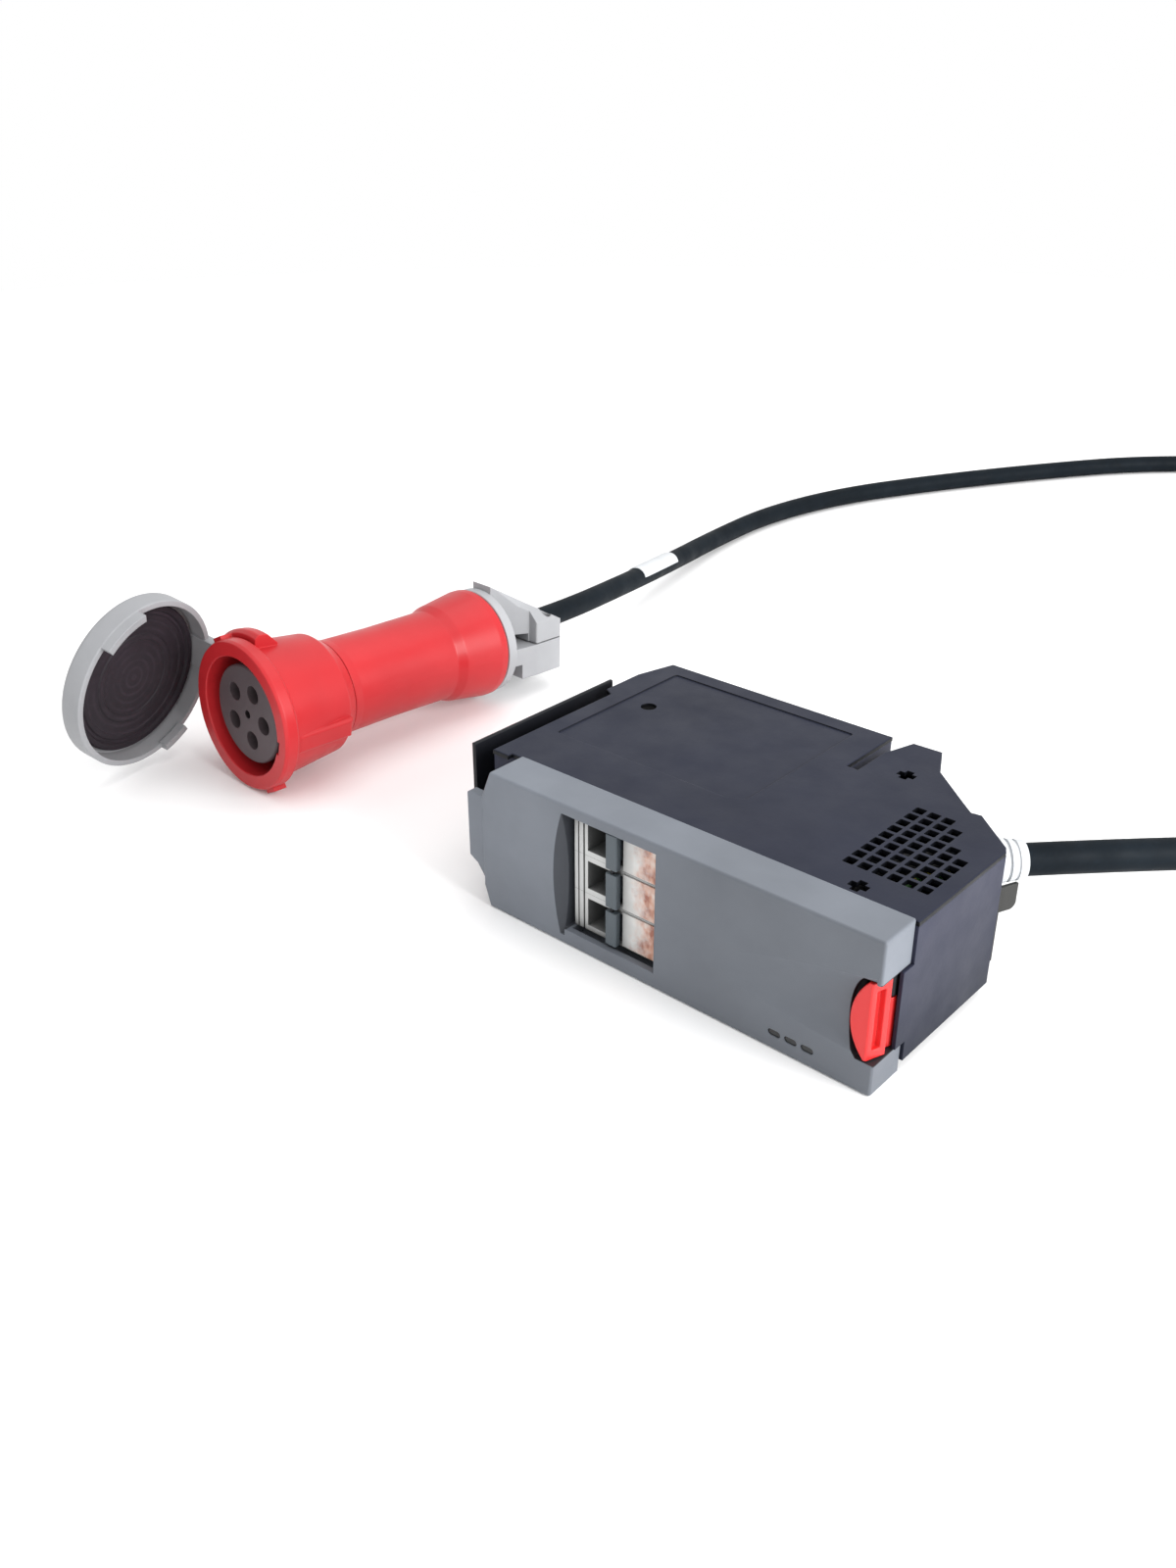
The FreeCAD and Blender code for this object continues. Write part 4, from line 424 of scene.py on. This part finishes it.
def sleeve_material():
    t = Tree("sleeve_white_vinyl")
    white = srgb(196, 199, 202)
    colour = t.ramp(t.noise(70.0, 4.0), [(0.3, times(white, 0.90)), (0.7, times(white, 1.02))])
    normal, mask = t.edges(0.0003)
    colour = t.mix(t.math("MULTIPLY", mask, 0.5), colour, times(white, 1.1))
    t.set("Base Color", colour)
    t.set("Roughness", t.value_ramp(t.noise(200.0), 0.3, 0.7, 0.30, 0.5))
    t.set("Normal", t.bump(t.noise(500.0, 4.0), 0.25, 0.00006, normal))
    return t.mat


M["board"] = board_material()
M["earth"] = earth_material()
M["plate"] = plate_material()
M["sleeve"] = sleeve_material()

LOOK = {
    "front_bezel": "bezel", "status_lenses": "lens", "status_lamps": "lens", "lamp_board": "board", "chassis_tray": "tray",
    "slide_runners": "runner", "top_cover": "cover", "cover_screw": "shade", "left_guide_rail": "rail", "rail_screws": "zinc",
    "bezel_screws": "zinc", "breaker_poles": "white", "breaker_terminal_screws": "zinc", "breaker_marker_plates": "plate",
    "breaker_toggles": "toggle", "toggle_pivot_pin": "zinc", "toggle_tie_rod": "oxide", "din_rail": "zinc", "din_bracket": "zinc",
    "bracket_screws": "zinc", "latch_lever": "latch", "latch_pin": "oxide", "latch_spring": "oxide", "bus_plug_housing": "black",
    "bus_blades": "copper", "bus_plug_clips": "black", "meter_board": "board", "board_standoffs": "brass", "board_screws": "zinc",
    "board_components": "black", "current_transformers": "black", "transformer_frame": "zinc", "earth_stud": "brass",
    "earth_nut": "brass", "earth_ring_terminal": "copper", "earth_spacer": "brass", "strain_relief": "sleeve", "relief_locknut": "black",
    "cable_bracket": "bracket", "cable_bracket_screws": "zinc", "load_wires": "wire", "line_wires": "wire", "neutral_wire": "wire",
    "earth_wire": "earth", "earth_bond_wire": "earth", "connector_front_housing": "red", "connector_insert": "insert", "insert_retainer": "insert",
    "connector_contacts": "contact", "connector_handle": "red", "cord_clamp_base": "pale", "cord_clamp_saddle": "pale",
    "cord_clamp_screws": "zinc", "cable_seal": "seal", "connector_cores": "wire", "connector_lid": "lid", "lid_gasket": "gasket",
    "lid_hinge_pin": "zinc", "power_cord": "cord",
}


def dress(obj, mat):
    if not obj.material_slots:
        obj.data.materials.append(mat)
    for s in obj.material_slots:
        s.material = mat


for name, obj in NODES.items():
    if obj.type == "MESH":
        dress(obj, M[LOOK[name]])
    for child in obj.children_recursive:
        if child.type == "MESH":
            dress(child, M[LOOK[name]])


# ------------------------------------------------------------------ cord

ROUTE = [(84.68, 8.98, 51.0), (181.01, 111.94, 51.0), (263.0, 226.0, 24.0), (296.0, 339.0, 6.6), (308.0, 463.0, 6.6), (292.0, 589.0, 6.6),
         (244.0, 705.0, 6.6), (162.0, 797.0, 6.6), (52.0, 853.0, 6.6), (-66.0, 846.0, 6.6), (-150.0, 784.0, 6.6), (-209.0, 694.0, 6.6),
         (-257.2, 606.6, 6.6), (-292.7, 527.7, 6.6), (-307.1, 447.5, 6.6), (-300.6, 372.5, 7.2), (-282.9, 304.3, 13.0), (-260.2, 229.1, 23.0),
         (-240.78, 134.73, 31.47), (-244.12, 64.84, 33.78)]
ROUTE = [Vector(p) / 1000.0 for p in ROUTE]
CORD_R = 0.0065


def nurbs(name, points, bevel=0.0, resolution=12):
    data = bpy.data.curves.new(name, "CURVE")
    data.dimensions = "3D"
    s = data.splines.new("NURBS")
    s.points.add(len(points) - 1)
    for p, q in zip(s.points, points):
        p.co = (*q, 1.0)
    s.order_u = 3
    s.use_endpoint_u = True
    s.resolution_u = resolution
    data.resolution_u = resolution
    data.bevel_depth = bevel
    data.bevel_resolution = 8
    data.use_fill_caps = True
    obj = bpy.data.objects.new(name, data)
    scene.collection.objects.link(obj)
    return obj


cord = nurbs("cord_sheath", ROUTE, CORD_R)
cord.data.materials.append(M["cord"])
guide = nurbs("cord_guide", ROUTE, 0.0, 40)
bpy.context.view_layer.update()
line_mesh = bpy.data.meshes.new_from_object(guide)
LINE = [v.co.copy() for v in line_mesh.vertices]
bpy.data.meshes.remove(line_mesh)
bpy.data.objects.remove(guide, do_unlink=True)
if (LINE[0] - ROUTE[0]).length > (LINE[-1] - ROUTE[0]).length:
    LINE.reverse()
RUN = [0.0]
for a, b in zip(LINE, LINE[1:]):
    RUN.append(RUN[-1] + (b - a).length)


def along(s):
    """Point and direction at a distance along the cord."""
    s = min(max(s, 0.0), RUN[-1])
    lo, hi = 0, len(RUN) - 1
    while hi - lo > 1:
        mid = (lo + hi) // 2
        if RUN[mid] <= s:
            lo = mid
        else:
            hi = mid
    f = (s - RUN[lo]) / max(RUN[hi] - RUN[lo], 1e-9)
    i0, i1 = max(lo - 1, 0), min(hi + 1, len(LINE) - 1)
    return LINE[lo].lerp(LINE[hi], f), (LINE[i1] - LINE[i0]).normalized()


def clip(name, s0, s1, inner, outer, a0, a1, mat, sides=40):
    """An open clip around part of the cord, from angle a0 to a1 in degrees."""
    bm = bmesh.new()
    up = Vector((0, 0, 1))
    n = max(8, int((s1 - s0) / 0.003))
    rings = []
    for k in range(n + 1):
        p, d = along(s0 + (s1 - s0) * k / n)
        side = d.cross(up).normalized()
        top = side.cross(d).normalized()
        lip = 0.00025 if k in (0, n) else 0.0
        loop = []
        for r, steps in ((outer - lip, range(sides + 1)), (inner, range(sides, -1, -1))):
            for i in steps:
                a = math.radians(a0 + (a1 - a0) * i / sides)
                loop.append(bm.verts.new(p + side * (r * math.cos(a)) + top * (r * math.sin(a))))
        rings.append(loop)
    size = len(rings[0])
    for r0, r1 in zip(rings, rings[1:]):
        for i in range(size):
            j = (i + 1) % size
            bm.faces.new((r0[i], r0[j], r1[j], r1[i]))
    for ring in (rings[0], rings[-1]):
        for i in range(sides):
            bm.faces.new((ring[i], ring[i + 1], ring[size - 2 - i], ring[size - 1 - i]))
    bmesh.ops.recalc_face_normals(bm, faces=bm.faces[:])
    mesh = bpy.data.meshes.new(name)
    bm.to_mesh(mesh)
    bm.free()
    for f in mesh.polygons:
        f.use_smooth = True
    obj = bpy.data.objects.new(name, mesh)
    scene.collection.objects.link(obj)
    mesh.materials.append(mat)
    mod = obj.modifiers.new("edge", "EDGE_SPLIT")
    mod.split_angle = math.radians(40)
    return obj


END = RUN[-1]
marker = clip("cord_marker_clip", END - 0.2350, END - 0.1793, CORD_R + 0.00012, 0.0074, -34.0, 166.0, M["sleeve"])

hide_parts("power_cord")
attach(cord, "chassis")
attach(marker, "chassis")


# ------------------------------------------------------------------ floor, light, camera

def floor_material():
    t = Tree("studio_floor")
    base = (0.95, 0.95, 0.95)
    t.set("Base Color", t.ramp(t.noise(3.0, 2.0), [(0.3, times(base, 0.99)), (0.7, base)]))
    t.set("Roughness", 0.9)
    t.set("Specular IOR Level", 0.1)
    return t.mat


bm = bmesh.new()
bmesh.ops.create_circle(bm, cap_ends=True, segments=96, radius=1.9)
mesh = bpy.data.meshes.new("studio_floor")
bm.to_mesh(mesh)
bm.free()
floor = bpy.data.objects.new("studio_floor", mesh)
floor.location = (0, 0, -0.0002)
mesh.materials.append(floor_material())
scene.collection.objects.link(floor)

world = bpy.data.worlds.new("studio")
world.use_nodes = True
bg = world.node_tree.nodes["Background"]
bg.inputs["Color"].default_value = (1.0, 1.0, 1.0, 1.0)
bg.inputs["Strength"].default_value = 1.0
scene.world = world


def area(name, where, at, size, power, size_y=None):
    data = bpy.data.lights.new(name, "AREA")
    data.energy = power
    data.size = size
    if size_y:
        data.shape = "RECTANGLE"
        data.size_y = size_y
    obj = bpy.data.objects.new(name, data)
    obj.location = where
    obj.rotation_euler = (Vector(at) - Vector(where)).to_track_quat("-Z", "Y").to_euler()
    scene.collection.objects.link(obj)
    return obj


area("top_softbox", (-0.1, 0.35, 1.5), (-0.05, 0.05, 0.0), 1.4, 7.0)
area("right_softbox", (1.35, 0.12, 0.62), (0.0, 0.0, 0.03), 0.9, 30.0)

az, el, roll = math.radians(41.683), math.radians(27.848), math.radians(-0.15)
back = Vector((math.sin(az) * math.cos(el), -math.cos(az) * math.cos(el), math.sin(el)))
right = Vector((math.cos(az), math.sin(az), 0.0))
up = back.cross(right)
r2 = right * math.cos(roll) + up * math.sin(roll)
u2 = up * math.cos(roll) - right * math.sin(roll)
cam_data = bpy.data.cameras.new("photo_camera")
cam_data.lens = 32.60
cam_data.sensor_width = 36.0
cam_data.sensor_fit = "AUTO"
cam_data.clip_start = 0.01
cam_data.clip_end = 50.0
cam = bpy.data.objects.new("photo_camera", cam_data)
m = Matrix((r2, u2, back)).transposed().to_4x4()
m.translation = Vector((0.29194, -0.43034, 0.33178))
cam.matrix_world = m
scene.collection.objects.link(cam)
scene.camera = cam
scene.view_settings.view_transform = "Standard"
scene.view_settings.look = "None"
scene.view_settings.exposure = 0.0
